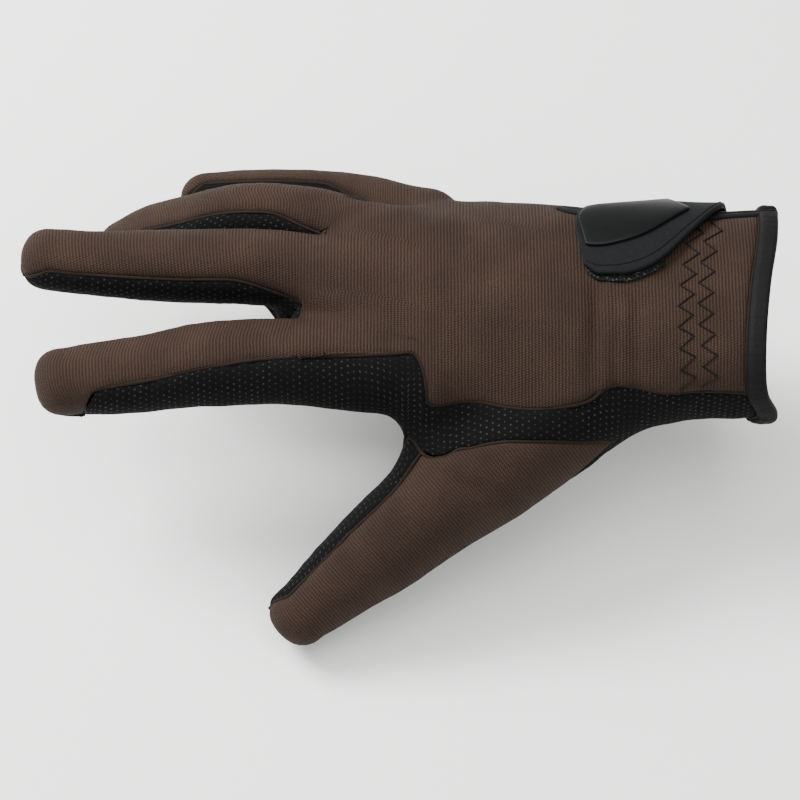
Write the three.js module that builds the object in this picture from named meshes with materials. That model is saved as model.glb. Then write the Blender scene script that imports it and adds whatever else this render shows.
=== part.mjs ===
// Right-hand riding glove, filled out as on a hand: an openwork knit back, a suede
// palm with a side wrap, fourchettes between the fingers, a set-in thumb, a bound
// cuff with a vent, and a hook-and-loop tab over the vent.
// Millimetres. The origin is the centre of the cuff opening. -X runs to the
// fingertips, +Z out of the back of the hand, -Y to the thumb.
import * as THREE from 'three';

// Hand
const PALM_LENGTH = 100;
const HAND_BREADTH = 78;
const HAND_DEPTH = 30;
const KNUCKLE_RISE = 5;
const KNUCKLE_ARCH = 10.5;
const WRIST_BREADTH = 66;
const WRIST_DEPTH = 41;
const CUFF_BREADTH = 67;
const CUFF_DEPTH = 44;
const CUFF_WAVE = 4;
const WEB_REACH = 39;
const WEB_DEPTH = 7;
const GATHER_DEPTH = 0.9;

// Digits, each from the knuckle line or the thumb's root to its tip
const INDEX_LENGTH = 114;
const INDEX_WIDTH = 26.4;
const MIDDLE_LENGTH = 119.5;
const MIDDLE_WIDTH = 25.6;
const RING_LENGTH = 99;
const RING_WIDTH = 24.6;
const LITTLE_LENGTH = 74;
const LITTLE_WIDTH = 22.8;
const THUMB_LENGTH = 110;
const THUMB_WIDTH = 24;
const THUMB_WEB_WIDTH = 17;

// Walls, seams and trims
const KNIT_WALL = 1.2;
const SUEDE_WALL = 1.0;
const SEAM_GAP = 0.3;
const FINGER_GAP = 1.1;
const GAP_ROUNDING = 1;
const HAND_END_ROUNDING = 6;
const FINGER_JOIN = 6;
const THUMB_WEB_JOIN = 8;
const THUMB_JOIN = 9;
const CUFF_BINDING_WIDTH = 5.5;
const CUFF_BINDING_THICKNESS = 3.2;
const VENT_LENGTH = 61;
const VENT_BINDING_WIDTH = 1.5;
const VENT_BINDING_THICKNESS = 2;
const TAB_LENGTH = 53;
const TAB_REACH = 44;
const TAB_THICKNESS = 1.8;
const BADGE_THICKNESS = 1;
const LOOP_THICKNESS = 0.8;
const LOOP_LIFT = 0.4;

// Hand sections from the cuff to past the knuckles. at: share of the palm length.
// side: share of the hand breadth. rise: share of the knuckle rise. tilt and arch:
// shares of the knuckle arch.
const HAND_SECTIONS = [
  {
    at: -0.06, side: -0.009, rise: 0, tilt: 0, arch: 0,
    breadth: CUFF_BREADTH, depth: CUFF_DEPTH,
  },
  {
    at: 0.2, side: -0.012, rise: 0, tilt: 0, arch: 0,
    breadth: WRIST_BREADTH, depth: 1.02 * WRIST_DEPTH,
  },
  {
    at: 0.32, side: -0.02, rise: 0.05, tilt: 0, arch: 0.05,
    breadth: 1.035 * WRIST_BREADTH, depth: WRIST_DEPTH,
  },
  {
    at: 0.45, side: 0.004, rise: 0.1, tilt: 0, arch: 0.1,
    breadth: 1.01 * WRIST_BREADTH, depth: 0.976 * WRIST_DEPTH,
  },
  {
    at: 0.6, side: 0.019, rise: 0.3, tilt: 0.1, arch: 0.3,
    breadth: 1.075 * WRIST_BREADTH, depth: 0.907 * WRIST_DEPTH,
  },
  {
    at: 0.8, side: 0.036, rise: 0.6, tilt: 0.2, arch: 0.67,
    breadth: 0.987 * HAND_BREADTH, depth: 1.13 * HAND_DEPTH,
  },
  {
    at: 1, side: 0.064, rise: 1, tilt: 0.34, arch: 1,
    breadth: HAND_BREADTH, depth: HAND_DEPTH,
  },
  {
    at: 1.15, side: 0.103, rise: 1.2, tilt: 0.36, arch: 1.14,
    breadth: 1.038 * HAND_BREADTH, depth: 0.9 * HAND_DEPTH,
  },
  {
    at: 1.35, side: 0.135, rise: 1.3, tilt: 0.36, arch: 1.14,
    breadth: 1.06 * HAND_BREADTH, depth: 0.8 * HAND_DEPTH,
  },
];
const SECTION_POWER = 2.3;
const TIP_POWER = 2.6;

// Gathers across the wrist. at and width: shares of the palm length. from and to:
// degrees round the wrist from the middle of the back, plus to the little finger.
const GATHERS = [
  { at: 0.5, width: 0.022, share: 1, from: -75, to: -10 },
  { at: 0.445, width: 0.018, share: -0.6, from: -70, to: -14 },
  { at: 0.4, width: 0.02, share: 0.7, from: -70, to: -18 },
];
const GATHER_FADE = 12;

// Digit axes from the knuckle to the tip's centre. along: share of the digit's
// length. side and lift: shares of the hand's breadth and depth, or for the thumb
// of its own length. girth: share of the digit's width.
const INDEX = {
  length: INDEX_LENGTH, width: INDEX_WIDTH, roll: -6, flat: 0.94,
  rows: [
    { along: 0, side: -0.302, lift: 0.047, girth: 1 },
    { along: 0.22, side: -0.283, lift: 0.157, girth: 0.992 },
    { along: 0.41, side: -0.269, lift: 0.183, girth: 0.977 },
    { along: 0.53, side: -0.273, lift: 0.157, girth: 0.97 },
    { along: 0.6, side: -0.277, lift: 0.13, girth: 0.947 },
    { along: 0.7, side: -0.29, lift: 0.067, girth: 0.886 },
    { along: 0.877, side: -0.299, lift: -0.027, girth: 0.818 },
    { along: 0.912, side: -0.304, lift: -0.035, girth: 0.788 },
  ],
};
const MIDDLE = {
  length: MIDDLE_LENGTH, width: MIDDLE_WIDTH, roll: 3, flat: 0.94,
  rows: [
    { along: 0, side: -0.017, lift: 0.13, girth: 1 },
    { along: 0.21, side: 0.062, lift: 0.303, girth: 0.953 },
    { along: 0.393, side: 0.112, lift: 0.347, girth: 0.914 },
    { along: 0.628, side: 0.131, lift: 0.3, girth: 0.875 },
    { along: 0.837, side: 0.156, lift: 0.263, girth: 0.773 },
    { along: 0.92, side: 0.172, lift: 0.25, girth: 0.75 },
  ],
};
const RING = {
  length: RING_LENGTH, width: RING_WIDTH, roll: 17, flat: 0.95,
  rows: [
    { along: 0, side: 0.2, lift: 0.18, girth: 1 },
    { along: 0.222, side: 0.314, lift: 0.213, girth: 0.894 },
    { along: 0.404, side: 0.388, lift: 0.18, girth: 0.837 },
    { along: 0.505, side: 0.404, lift: 0.147, girth: 0.829 },
    { along: 0.606, side: 0.422, lift: 0.037, girth: 0.821 },
    { along: 0.737, side: 0.44, lift: -0.21, girth: 0.813 },
    { along: 0.843, side: 0.463, lift: -0.45, girth: 0.797 },
    { along: 0.904, side: 0.465, lift: -0.607, girth: 0.756 },
  ],
};
const LITTLE = {
  length: LITTLE_LENGTH, width: LITTLE_WIDTH, roll: 40, flat: 0.96,
  rows: [
    { along: 0, side: 0.442, lift: -0.13, girth: 1 },
    { along: 0.095, side: 0.481, lift: -0.18, girth: 0.965 },
    { along: 0.27, side: 0.558, lift: -0.253, girth: 0.895 },
    { along: 0.427, side: 0.59, lift: -0.277, girth: 0.86 },
    { along: 0.581, side: 0.605, lift: -0.29, girth: 0.833 },
    { along: 0.722, side: 0.62, lift: -0.343, girth: 0.807 },
    { along: 0.884, side: 0.64, lift: -0.43, girth: 0.763 },
  ],
};
const THUMB = {
  length: THUMB_LENGTH, width: THUMB_WIDTH, roll: 0, flat: 1,
  rows: [
    { along: 0, side: 0, lift: 0, girth: 1.517 },
    { along: 0.236, side: -0.164, lift: -0.073, girth: 1.467 },
    { along: 0.463, side: -0.3, lift: -0.176, girth: 1.24 },
    { along: 0.56, side: -0.364, lift: -0.223, girth: 1.17 },
    { along: 0.63, side: -0.408, lift: -0.257, girth: 1.02 },
    { along: 0.765, side: -0.495, lift: -0.328, girth: 0.79 },
  ],
};
const THUMB_ROOT = { at: 0.52, side: -0.282, lift: -0.267 };

// Fill between the thumb and the index finger, from the hand to the thumb. at: share
// of the palm length. side and lift: shares of the hand's breadth and depth.
const THUMB_WEB = [
  { at: 0.985, side: -0.35, lift: -0.2 },
  { at: 0.97, side: -0.58, lift: -0.67 },
];
const FINGERS = [INDEX, MIDDLE, RING, LITTLE];

// Webs between neighbouring fingers. reach: share of the web reach.
const WEBS = [{ reach: 1 }, { reach: 0.83 }, { reach: 0.27 }];
const WEB_SLOPE = 0.62;
const WEB_STEEPNESS = 0.85;
const WEB_TURN_HEIGHT = 4;
const WEB_LOOK = 48;
const WEB_ROWS = 1.3;

// Angles round the hand of the lines that run from the cuff to the knuckles:
// at the cuff, at the wrist and at the knuckles
const BACK_CENTRES = [
  { cuff: -57, wrist: -52, knuckle: -45.6 },
  { cuff: -19, wrist: -15, knuckle: -9 },
  { cuff: 10, wrist: 12, knuckle: 15.4 },
];
const BACK_WEBS = [
  { cuff: -36, wrist: -32, knuckle: -26 },
  { cuff: -4, wrist: 0, knuckle: 3.6 },
  { cuff: 22, wrist: 22, knuckle: 30.8 },
];
const PALM_CENTRES = [
  { cuff: 230, wrist: 203, knuckle: 204 },
  { cuff: 181, wrist: 177, knuckle: 183 },
  { cuff: 155, wrist: 156, knuckle: 163 },
  { cuff: 120, wrist: 125, knuckle: 132 },
];
const PALM_WEBS = [
  { cuff: 197, wrist: 190, knuckle: 194 },
  { cuff: 168, wrist: 167, knuckle: 173 },
  { cuff: 140, wrist: 143, knuckle: 149 },
];
const WRIST_AT = 0.45;
const OUTER_SEAM_ANGLE = 98;

// The vent, then the middle of the little finger's back. at: share of palm length.
const VENT_LINE = [
  { at: 0, angle: 49 },
  { at: 0.1, angle: 48 },
  { at: 0.3, angle: 45 },
  { at: 0.45, angle: 43 },
  { at: 0.53, angle: 46 },
  { at: 0.61, angle: 51 },
  { at: 0.75, angle: 54 },
  { at: 0.9, angle: 52 },
  { at: 1, angle: 47.5 },
];

// Seam between the knit back and the side wrap, from the cuff to the index finger.
// row: place along the panel's rows. at: share of the palm length.
const WRAP_SEAM = [
  { row: 0, at: 0.07, angle: -74 },
  { row: 0.14, at: 0.25, angle: -70 },
  { row: 0.26, at: 0.41, angle: -65 },
  { row: 0.31, at: 0.47, angle: -64 },
  { row: 0.37, at: 0.54, angle: -72 },
  { row: 0.5, at: 0.76, angle: -70 },
  { row: 0.6, at: 0.93, angle: -70 },
  { row: 0.66, at: 0.995, angle: -67 },
  { row: 0.7, at: 1, angle: -57 },
  { row: 0.74, at: 1.01, angle: -48 },
  { row: 0.79, at: 1.045, angle: -42 },
  { row: 1, at: 1.3, angle: -38 },
];

// The same seam on the index finger. along: share of the index length.
const INDEX_SEAM = [
  { row: 0.76, along: 0.02, angle: 4 },
  { row: 0.81, along: 0.07, angle: 1 },
  { row: 0.9, along: 0.19, angle: -11 },
  { row: 1, along: 0.33, angle: -20 },
  { row: 1.25, along: 0.455, angle: -27 },
  { row: 1.6, along: 0.64, angle: -37 },
  { row: 2, along: 0.81, angle: -45 },
  { row: 2.4, along: 0.85, angle: -52 },
  { row: 2.7, along: 0.872, angle: -72 },
  { row: 3, along: 0.88, angle: -105 },
];

// Mouth of the thumb in the palm panel, a lens between two lines. at: share of the
// palm length. inset: how far the lines are seen from inside the thumb's root.
// lean: forward slope of that view. upper and lower: its angles above the side.
const THUMB_MOUTH = [
  { row: 0, at: 0.07, inset: 0, lean: 0, upper: -10, lower: -10 },
  { row: 0.14, at: 0.25, inset: 0.35, lean: 0, upper: -10, lower: -10 },
  { row: 0.27, at: 0.44, inset: 0.8, lean: 0, upper: -12, lower: -12 },
  { row: 0.33, at: 0.5, inset: 1, lean: 0, upper: 3, lower: -38 },
  { row: 0.42, at: 0.62, inset: 1, lean: 0, upper: 12, lower: -62 },
  { row: 0.52, at: 0.77, inset: 1, lean: 0, upper: 12, lower: -74 },
  { row: 0.62, at: 0.9, inset: 1, lean: 0, upper: 2, lower: -72 },
  { row: 0.66, at: 0.94, inset: 1, lean: -0.03, upper: -3, lower: -68 },
  { row: 0.7, at: 0.985, inset: 1, lean: -0.12, upper: -9, lower: -60 },
  { row: 0.76, at: 0.993, inset: 1, lean: -0.28, upper: -14, lower: -52 },
  { row: 0.81, at: 1, inset: 1, lean: -0.32, upper: -28, lower: -28 },
  { row: 0.9, at: 1.1, inset: 0.7, lean: -0.2, upper: -30, lower: -30 },
  { row: 1, at: 1.3, inset: 0.4, lean: 0, upper: -30, lower: -30 },
];
const MOUTH_REAR = 0.27;
const MOUTH_CORNER = 0.7;
const MOUTH_FRONT = 0.81;
const MOUTH_SIDE = -0.28;
const MOUTH_DROP = -0.25;

// Outline of the cuff. angle: degrees round the wrist. reach: share of the wave.
const CUFF_OUTLINE = [
  { angle: -180, reach: -0.6 },
  { angle: -135, reach: -0.3 },
  { angle: -104, reach: 0.6 },
  { angle: -78, reach: -0.2 },
  { angle: -58, reach: -0.5 },
  { angle: -33, reach: -0.45 },
  { angle: -5, reach: 0 },
  { angle: 26, reach: 0.75 },
  { angle: 60, reach: 0.95 },
  { angle: 110, reach: 0.5 },
  { angle: 180, reach: -0.6 },
];

// Finger seams in degrees from each finger's back: knit to fourchette or palm on its
// thumb side and its far side, and fourchette to palm on both sides
const FINGER_SEAMS = [
  { backNear: -22, backFar: 66, palmNear: -95, palmFar: 118 },
  { backNear: -60, backFar: 60, palmNear: -120, palmFar: 120 },
  { backNear: -45, backFar: 57, palmNear: -115, palmFar: 138 },
  { backNear: -35, backFar: 60, palmNear: -128, palmFar: 60 },
];
const TIP_CORNER = 52;
const TIP_OVER = 100;
const INDEX_TIP_OVER = 130;
const INDEX_CORNER = 35;
const THUMB_TIP_OVER = 125;

// Seams of the thumb in degrees from its back, and the share of its length over which
// its columns turn from the mouth to them. Tip: where the seam across the tip ends.
const THUMB_NEAR_SEAM = 46;
const THUMB_FAR_SEAM = -106;
const THUMB_TURN = 0.4;
const THUMB_TIP = { near: 80, far: -95, corner: 40 };

// Tab over the vent, from its sewn end to its free end. upperAlong and lowerAlong:
// shares of the tab length from the cuff. upper and lower: shares of the tab reach
// round the wrist, from the middle of the back. height: clearance under it.
const TAB_ROWS = [
  { upperAlong: 0.32, lowerAlong: 0.1, upper: 1.12, lower: 1.12, lift: 0.35 },
  { upperAlong: 0.33, lowerAlong: 0.11, upper: 0.86, lower: 0.86, lift: 0.5 },
  { upperAlong: 0.36, lowerAlong: 0.16, upper: 0.7, lower: 0.56, lift: 0.9 },
  { upperAlong: 0.45, lowerAlong: 0.25, upper: 0.6, lower: 0.38, lift: 1.6 },
  { upperAlong: 0.61, lowerAlong: 0.38, upper: 0.54, lower: 0.22, lift: 1.6 },
  { upperAlong: 0.78, lowerAlong: 0.54, upper: 0.49, lower: 0.06, lift: 1.6 },
  { upperAlong: 0.9, lowerAlong: 0.72, upper: 0.45, lower: -0.04, lift: 1.6 },
  { upperAlong: 0.965, lowerAlong: 0.87, upper: 0.37, lower: -0.045, lift: 1.6 },
  { upperAlong: 0.985, lowerAlong: 0.95, upper: 0.26, lower: 0.0, lift: 1.6 },
];
const TAB_START = 4;
const BADGE_SPAN = { from: 0.4, to: 0.93, upper: 0.08, lower: 0.66 };
const LOOP_SPAN = { from: 0.6, to: 0.97, upper: 0.5, lower: 1.05 };

// Fineness of the solids
const HAND_ROWS = [
  0, 0.07, 0.14, 0.205, 0.27, 0.33, 0.38, 0.53, 0.58,
  0.62, 0.66, 0.7, 0.74, 0.775, 0.81, 0.87, 0.94, 1,
];
const FINGER_ROWS = [1.07, 1.15, 1.25, 1.37, 1.5, 1.63, 1.75, 1.87, 2];
const CAP_ROWS = [2.2, 2.4, 2.6, 2.8, 3];
const ROW_APART = 0.03;
const COLUMNS = 4;
const INDEX_COLUMNS = [0, 0.125, 0.25, 0.375, 0.5, 0.75, 1];
const SIDE_COLUMNS = 4;
const THUMB_ROWS = [0, 0.07, 0.15, 0.24, 0.34, 0.45, 0.57, 0.7, 0.84, 1];
const THUMB_CAP_ROWS = [1.25, 1.5, 1.75, 2];
const AXIS_STEPS = 20;
const CAST_STEPS = 30;

const DEGREE = Math.PI / 180;
const UP = new THREE.Vector3(0, 0, 1);

// Smooth curve through table values: a cubic with its slope at each knot taken from
// the neighbouring knots
function smoothCurve(knots, values, t) {
  const last = knots.length - 1;
  const at = Math.min(Math.max(t, knots[0]), knots[last]);
  let i = 0;
  while (i < last - 1 && at > knots[i + 1]) i += 1;
  const slope = (k) => {
    const before = Math.max(k - 1, 0);
    const after = Math.min(k + 1, last);
    return (values[after] - values[before]) / (knots[after] - knots[before]);
  };
  const step = knots[i + 1] - knots[i];
  const u = (at - knots[i]) / step;
  const u2 = u * u;
  const u3 = u2 * u;
  return (2 * u3 - 3 * u2 + 1) * values[i] + (u3 - 2 * u2 + u) * step * slope(i)
    + (3 * u2 - 2 * u3) * values[i + 1] + (u3 - u2) * step * slope(i + 1);
}

// Reader of a table's named columns along one of them
function tableCurve(rows, key) {
  const knots = rows.map((row) => row[key]);
  const columns = {};
  for (const name of Object.keys(rows[0])) columns[name] = rows.map((row) => row[name]);
  return (name, t) => smoothCurve(knots, columns[name], t);
}

const ease = (from, to, t) => {
  const u = Math.min(Math.max((t - from) / (to - from), 0), 1);
  return u * u * (3 - 2 * u);
};

// Shape of the filled glove, as a distance that is below zero inside

const sections = tableCurve(HAND_SECTIONS, 'at');

function handAt(x) {
  const at = -x / PALM_LENGTH;
  return {
    y: sections('side', at) * HAND_BREADTH,
    z: sections('rise', at) * KNUCKLE_RISE,
    a: sections('breadth', at) / 2,
    b: sections('depth', at) / 2,
    tilt: -sections('tilt', at) * KNUCKLE_ARCH,
    arch: -sections('arch', at) * KNUCKLE_ARCH,
  };
}

function axisRows(digit) {
  const isThumb = digit === THUMB;
  const start = isThumb
    ? [-THUMB_ROOT.at * PALM_LENGTH, THUMB_ROOT.side * HAND_BREADTH, THUMB_ROOT.lift * HAND_DEPTH]
    : [-PALM_LENGTH, 0, 0];
  return digit.rows.map((row) => ({
    along: row.along,
    x: start[0] - row.along * digit.length,
    y: start[1] + row.side * (isThumb ? digit.length : HAND_BREADTH),
    z: start[2] + row.lift * (isThumb ? digit.length : HAND_DEPTH),
    r: (row.girth * digit.width) / 2,
  }));
}

for (const digit of [...FINGERS, THUMB]) {
  const rows = axisRows(digit);
  digit.curve = tableCurve(rows, 'along');
  digit.end = rows[rows.length - 1].along;
  digit.at = (along) => new THREE.Vector3(
    digit.curve('x', along),
    digit.curve('y', along),
    digit.curve('z', along),
  );
  digit.steps = [];
  for (let i = 0; i <= AXIS_STEPS; i += 1) {
    const along = (digit.end * i) / AXIS_STEPS;
    const p = digit.at(along);
    digit.steps.push({ x: p.x, y: p.y, z: p.z / digit.flat, r: digit.curve('r', along) });
  }
}

function smoothMin(a, b, reach) {
  const h = Math.max(reach - Math.abs(a - b), 0) / reach;
  return Math.min(a, b) - (h * h * reach) / 4;
}

const smoothMax = (a, b, reach) => -smoothMin(-a, -b, reach);

// Distance to a chain of tapered rounds, with a blunt end
function digitDistance(p, digit) {
  const z = p.z / digit.flat;
  let best = Infinity;
  for (let i = 0; i < AXIS_STEPS; i += 1) {
    const a = digit.steps[i];
    const b = digit.steps[i + 1];
    const dx = b.x - a.x;
    const dy = b.y - a.y;
    const dz = b.z - a.z;
    const square = dx * dx + dy * dy + dz * dz;
    const run = ((p.x - a.x) * dx + (p.y - a.y) * dy + (z - a.z) * dz) / square;
    const h = Math.min(Math.max(run, 0), 1);
    let reach = Math.hypot(p.x - a.x - h * dx, p.y - a.y - h * dy, z - a.z - h * dz);
    if (i === AXIS_STEPS - 1 && run > 1) {
      const past = (run - 1) * Math.sqrt(square);
      const across = Math.hypot(p.x - a.x - run * dx, p.y - a.y - run * dy, z - a.z - run * dz);
      reach = (past ** TIP_POWER + across ** TIP_POWER) ** (1 / TIP_POWER);
    }
    best = Math.min(best, reach - a.r - h * (b.r - a.r));
  }
  return best;
}

const alongAt = (digit, x) => (-PALM_LENGTH - x) / digit.length;

// Middle of the gap between fingers i and i + 1
function gapAt(i, x) {
  const near = FINGERS[i];
  const far = FINGERS[i + 1];
  const nearRadius = near.curve('r', alongAt(near, x));
  const farRadius = far.curve('r', alongAt(far, x));
  const share = nearRadius / (nearRadius + farRadius);
  return near.at(alongAt(near, x)).lerp(far.at(alongAt(far, x)), share).setX(x);
}

const webPlaces = WEBS.map((web, i) => gapAt(i, -PALM_LENGTH - web.reach * WEB_REACH));

// Front end of the hand, through the three webs
function handEnd(y) {
  const [p, q, r] = webPlaces;
  const first = (q.x - p.x) / (q.y - p.y);
  const second = (r.x - q.x) / (r.y - q.y);
  const bend = (second - first) / (r.y - p.y);
  const at = Math.min(Math.max(y, -0.38 * HAND_BREADTH), 0.66 * HAND_BREADTH);
  return p.x + first * (at - p.y) + bend * (at - p.y) * (at - q.y);
}

function gatherDepth(x, dy, dz) {
  const at = -x / PALM_LENGTH;
  const angle = Math.atan2(dy, dz) / DEGREE;
  let depth = 0;
  for (const gather of GATHERS) {
    const away = (at - gather.at) / gather.width;
    const rise = ease(gather.from - GATHER_FADE, gather.from + GATHER_FADE, angle);
    const fall = 1 - ease(gather.to - GATHER_FADE, gather.to + GATHER_FADE, angle);
    depth += gather.share * GATHER_DEPTH * Math.exp(-away * away) * rise * fall;
  }
  return depth;
}

function handDistance(p) {
  const hand = handAt(p.x);
  const dy = p.y - hand.y;
  const u = Math.min(Math.max(dy / hand.a, -1.3), 1.3);
  const dz = p.z - hand.z - hand.tilt * u - hand.arch * u * u;
  const size = (Math.abs(dy / hand.a) ** SECTION_POWER + Math.abs(dz / hand.b) ** SECTION_POWER)
    ** (1 / SECTION_POWER) + 1e-9;
  const round = Math.hypot(dy, dz) * (1 - 1 / size) + gatherDepth(p.x, dy, dz);
  const front = -(p.x - handEnd(p.y) - WEB_SLOPE * (p.z - WEB_TURN_HEIGHT)) * WEB_STEEPNESS;
  return smoothMax(round, front, HAND_END_ROUNDING);
}

const thumbWeb = THUMB_WEB.map((end) => new THREE.Vector3(
  -end.at * PALM_LENGTH,
  end.side * HAND_BREADTH,
  end.lift * HAND_DEPTH,
));
const thumbWebLine = new THREE.Line3(...thumbWeb);

function thumbWebDistance(p) {
  return p.distanceTo(thumbWebLine.closestPointToPoint(p, true, new THREE.Vector3())) - THUMB_WEB_WIDTH / 2;
}

function gloveDistance(p) {
  const plain = FINGERS.map((digit) => digitDistance(p, digit));
  const kept = [...plain];
  for (let i = 0; i < WEBS.length; i += 1) {
    const middle = (plain[i] - plain[i + 1]) / 2;
    kept[i] = smoothMax(kept[i], middle + FINGER_GAP / 2, GAP_ROUNDING);
    kept[i + 1] = smoothMax(kept[i + 1], -middle + FINGER_GAP / 2, GAP_ROUNDING);
  }
  const fingers = Math.min(...kept);
  const hand = smoothMin(fingers, handDistance(p), FINGER_JOIN);
  const webbed = smoothMin(hand, thumbWebDistance(p), THUMB_WEB_JOIN);
  return smoothMin(webbed, digitDistance(p, THUMB), THUMB_JOIN);
}

// Surface point reached from inside along a ray
function cast(ray) {
  const along = ray.d.clone().normalize();
  const p = new THREE.Vector3();
  let t = 1;
  for (let i = 0; i < CAST_STEPS; i += 1) {
    p.copy(ray.o).addScaledVector(along, t);
    t = Math.max(t - 0.9 * gloveDistance(p), 0.2);
  }
  return p.copy(ray.o).addScaledVector(along, t);
}

function normalAt(p) {
  const step = 0.05;
  const side = (axis) => {
    const ahead = p.clone();
    const behind = p.clone();
    ahead[axis] += step;
    behind[axis] -= step;
    return gloveDistance(ahead) - gloveDistance(behind);
  };
  return new THREE.Vector3(side('x'), side('y'), side('z')).normalize();
}

// Rays: a place inside the glove and a way to look from it

const mixRays = (a, b, share) => ({
  o: a.o.clone().lerp(b.o, share),
  d: a.d.clone().normalize().lerp(b.d.clone().normalize(), share),
});

// Shares of a first, a middle and a last value on the parabola through them
const parabolaShares = (u) => [(1 - 2 * u) * (1 - u), 4 * u * (1 - u), u * (2 * u - 1)];

function blendRays(rays, shares) {
  const o = new THREE.Vector3();
  const d = new THREE.Vector3();
  rays.forEach((ray, i) => {
    o.addScaledVector(ray.o, shares[i]);
    d.addScaledVector(ray.d.clone().normalize(), shares[i]);
  });
  return { o, d };
}

// Ray to the place between those that two rays reach
function aimBetween(a, b, share) {
  if (share === 0) return a;
  const o = a.o.clone().lerp(b.o, share);
  return { o, d: cast(a).lerp(cast(b), share).sub(o) };
}

function handRay(x, angle) {
  const hand = handAt(x);
  const s = Math.sin(angle * DEGREE);
  const c = Math.cos(angle * DEGREE);
  return {
    o: new THREE.Vector3(x, hand.y, hand.z),
    d: new THREE.Vector3(0, hand.a * s, hand.b * c + hand.tilt * s + hand.arch * s * s),
  };
}

// Ray from a digit's axis: angle round the axis from its back, turned by lean
// degrees towards the tip
function digitRay(digit, along, angle, lean = 0) {
  const step = 0.01;
  const behind = digit.at(Math.min(along, digit.end - step));
  const tangent = digit.at(Math.min(along + step, digit.end)).sub(behind).normalize();
  const facing = digit === THUMB ? new THREE.Vector3(0, -0.55, 0.84) : UP;
  const back = facing.clone().addScaledVector(tangent, -facing.dot(tangent)).normalize();
  const side = tangent.clone().cross(back);
  const turn = (angle + digit.roll) * DEGREE;
  const across = back.multiplyScalar(Math.cos(turn)).addScaledVector(side, Math.sin(turn));
  return {
    o: digit.at(Math.min(along, digit.end)),
    d: across.multiplyScalar(Math.cos(lean * DEGREE)).addScaledVector(tangent, Math.sin(lean * DEGREE)),
  };
}

function webRay(i, look, x = webPlaces[i].x) {
  return {
    o: new THREE.Vector3(x + WEB_DEPTH, webPlaces[i].y, webPlaces[i].z),
    d: new THREE.Vector3(-Math.cos(look * DEGREE), 0, Math.sin(look * DEGREE)),
  };
}

// Ray from a web's inside straight out into its gap
function gapRay(i) {
  const { o } = webRay(i, 0);
  return { o, d: gapAt(i, webPlaces[i].x - 3 * WEB_DEPTH).sub(o) };
}

const cuffOutline = tableCurve(CUFF_OUTLINE, 'angle');

function cuffEdge(angle) {
  const turned = ((((angle + 180) % 360) + 360) % 360) - 180;
  return CUFF_WAVE * cuffOutline('reach', turned);
}

const panelEdge = (angle) => cuffEdge(angle) - CUFF_BINDING_WIDTH - SEAM_GAP / 2;

function angledLine(knots) {
  const ats = [0, WRIST_AT, 1];
  const angles = [knots.cuff, knots.wrist, knots.knuckle];
  return (x) => smoothCurve(ats, angles, -x / PALM_LENGTH);
}

// Line from the cuff (row 0) to its web or knuckle (row 1)
function handLine(angleAt, cuffAngle, endX, endRay, mixFrom) {
  const start = panelEdge(cuffAngle);
  return (row) => {
    const x = start + (endX - start) * row;
    return mixRays(handRay(x, angleAt(x)), endRay(x), ease(mixFrom, 1, row));
  };
}

const fingerEndX = [
  webPlaces[0].x,
  (webPlaces[0].x + webPlaces[1].x) / 2,
  (webPlaces[1].x + webPlaces[2].x) / 2,
  webPlaces[2].x,
];

function fingerAlong(f, row) {
  const start = alongAt(FINGERS[f], fingerEndX[f]);
  return start + (FINGERS[f].end - start) * Math.min(row - 1, 1);
}

// Line down the middle of a finger, over its back or under it
function centreLine(f, knots, isPalm) {
  const digit = FINGERS[f];
  const angle = isPalm ? 180 : 0;
  const over = f === 0 ? INDEX_TIP_OVER : TIP_OVER;
  const tip = isPalm ? 180 - over : over;
  const angleAt = knots === null ? ventAngle : angledLine(knots);
  const end = (x) => digitRay(digit, Math.max(alongAt(digit, x), 0), angle);
  const onHand = handLine(angleAt, angleAt(0), fingerEndX[f], end, 0.5);
  return (row) => {
    if (row <= 1) return onHand(row);
    return digitRay(digit, fingerAlong(f, row), angle, tip * Math.max(row - 2, 0));
  };
}

// Line from the cuff to the web between fingers i and i + 1
function webLine(i, knots, look) {
  const angleAt = angledLine(knots);
  return handLine(angleAt, angleAt(0), webPlaces[i].x, (x) => webRay(i, look, x), 0.62);
}

// Line along a finger's side, from its web to its tip corner
function sideLine(f, web, look, angle, onHand) {
  const digit = FINGERS[f];
  const corner = f === 0 ? INDEX_CORNER : TIP_CORNER;
  const end = angle > 0 ? 90 : -90;
  const crotch = cast(webRay(web, look));
  const first = alongAt(digit, crotch.x);
  const own = crotch.clone().sub(digit.at(first)).normalize();
  return (row) => {
    if (row <= 1) return onHand(row);
    const cap = Math.max(row - 2, 0);
    const along = first + (digit.end - first) * Math.min(row - 1, 1);
    const ray = digitRay(digit, along, angle + (end - angle) * cap, corner * cap);
    return mixRays({ o: ray.o, d: own }, ray, ease(1, WEB_ROWS, row));
  };
}

// Line down the middle of a fourchette's side, from its web to its tip corner
function flankLine(f, web, from, to) {
  const digit = FINGERS[f];
  const angle = (from + to) / 2;
  const end = angle > 0 ? 90 : -90;
  const first = alongAt(digit, cast(gapRay(web)).x);
  return (row) => {
    const cap = Math.max(row - 2, 0);
    const along = first + (digit.end - first) * Math.min(row - 1, 1);
    const ray = digitRay(digit, along, angle + (end - angle) * cap, TIP_CORNER * cap);
    return mixRays(gapRay(web), ray, ease(1, WEB_ROWS, row));
  };
}

const ventTable = tableCurve(VENT_LINE, 'at');
const ventAngle = (x) => ventTable('angle', -x / PALM_LENGTH);

const wrapTable = tableCurve(WRAP_SEAM, 'row');
const indexSeamTable = tableCurve(INDEX_SEAM, 'row');

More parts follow.
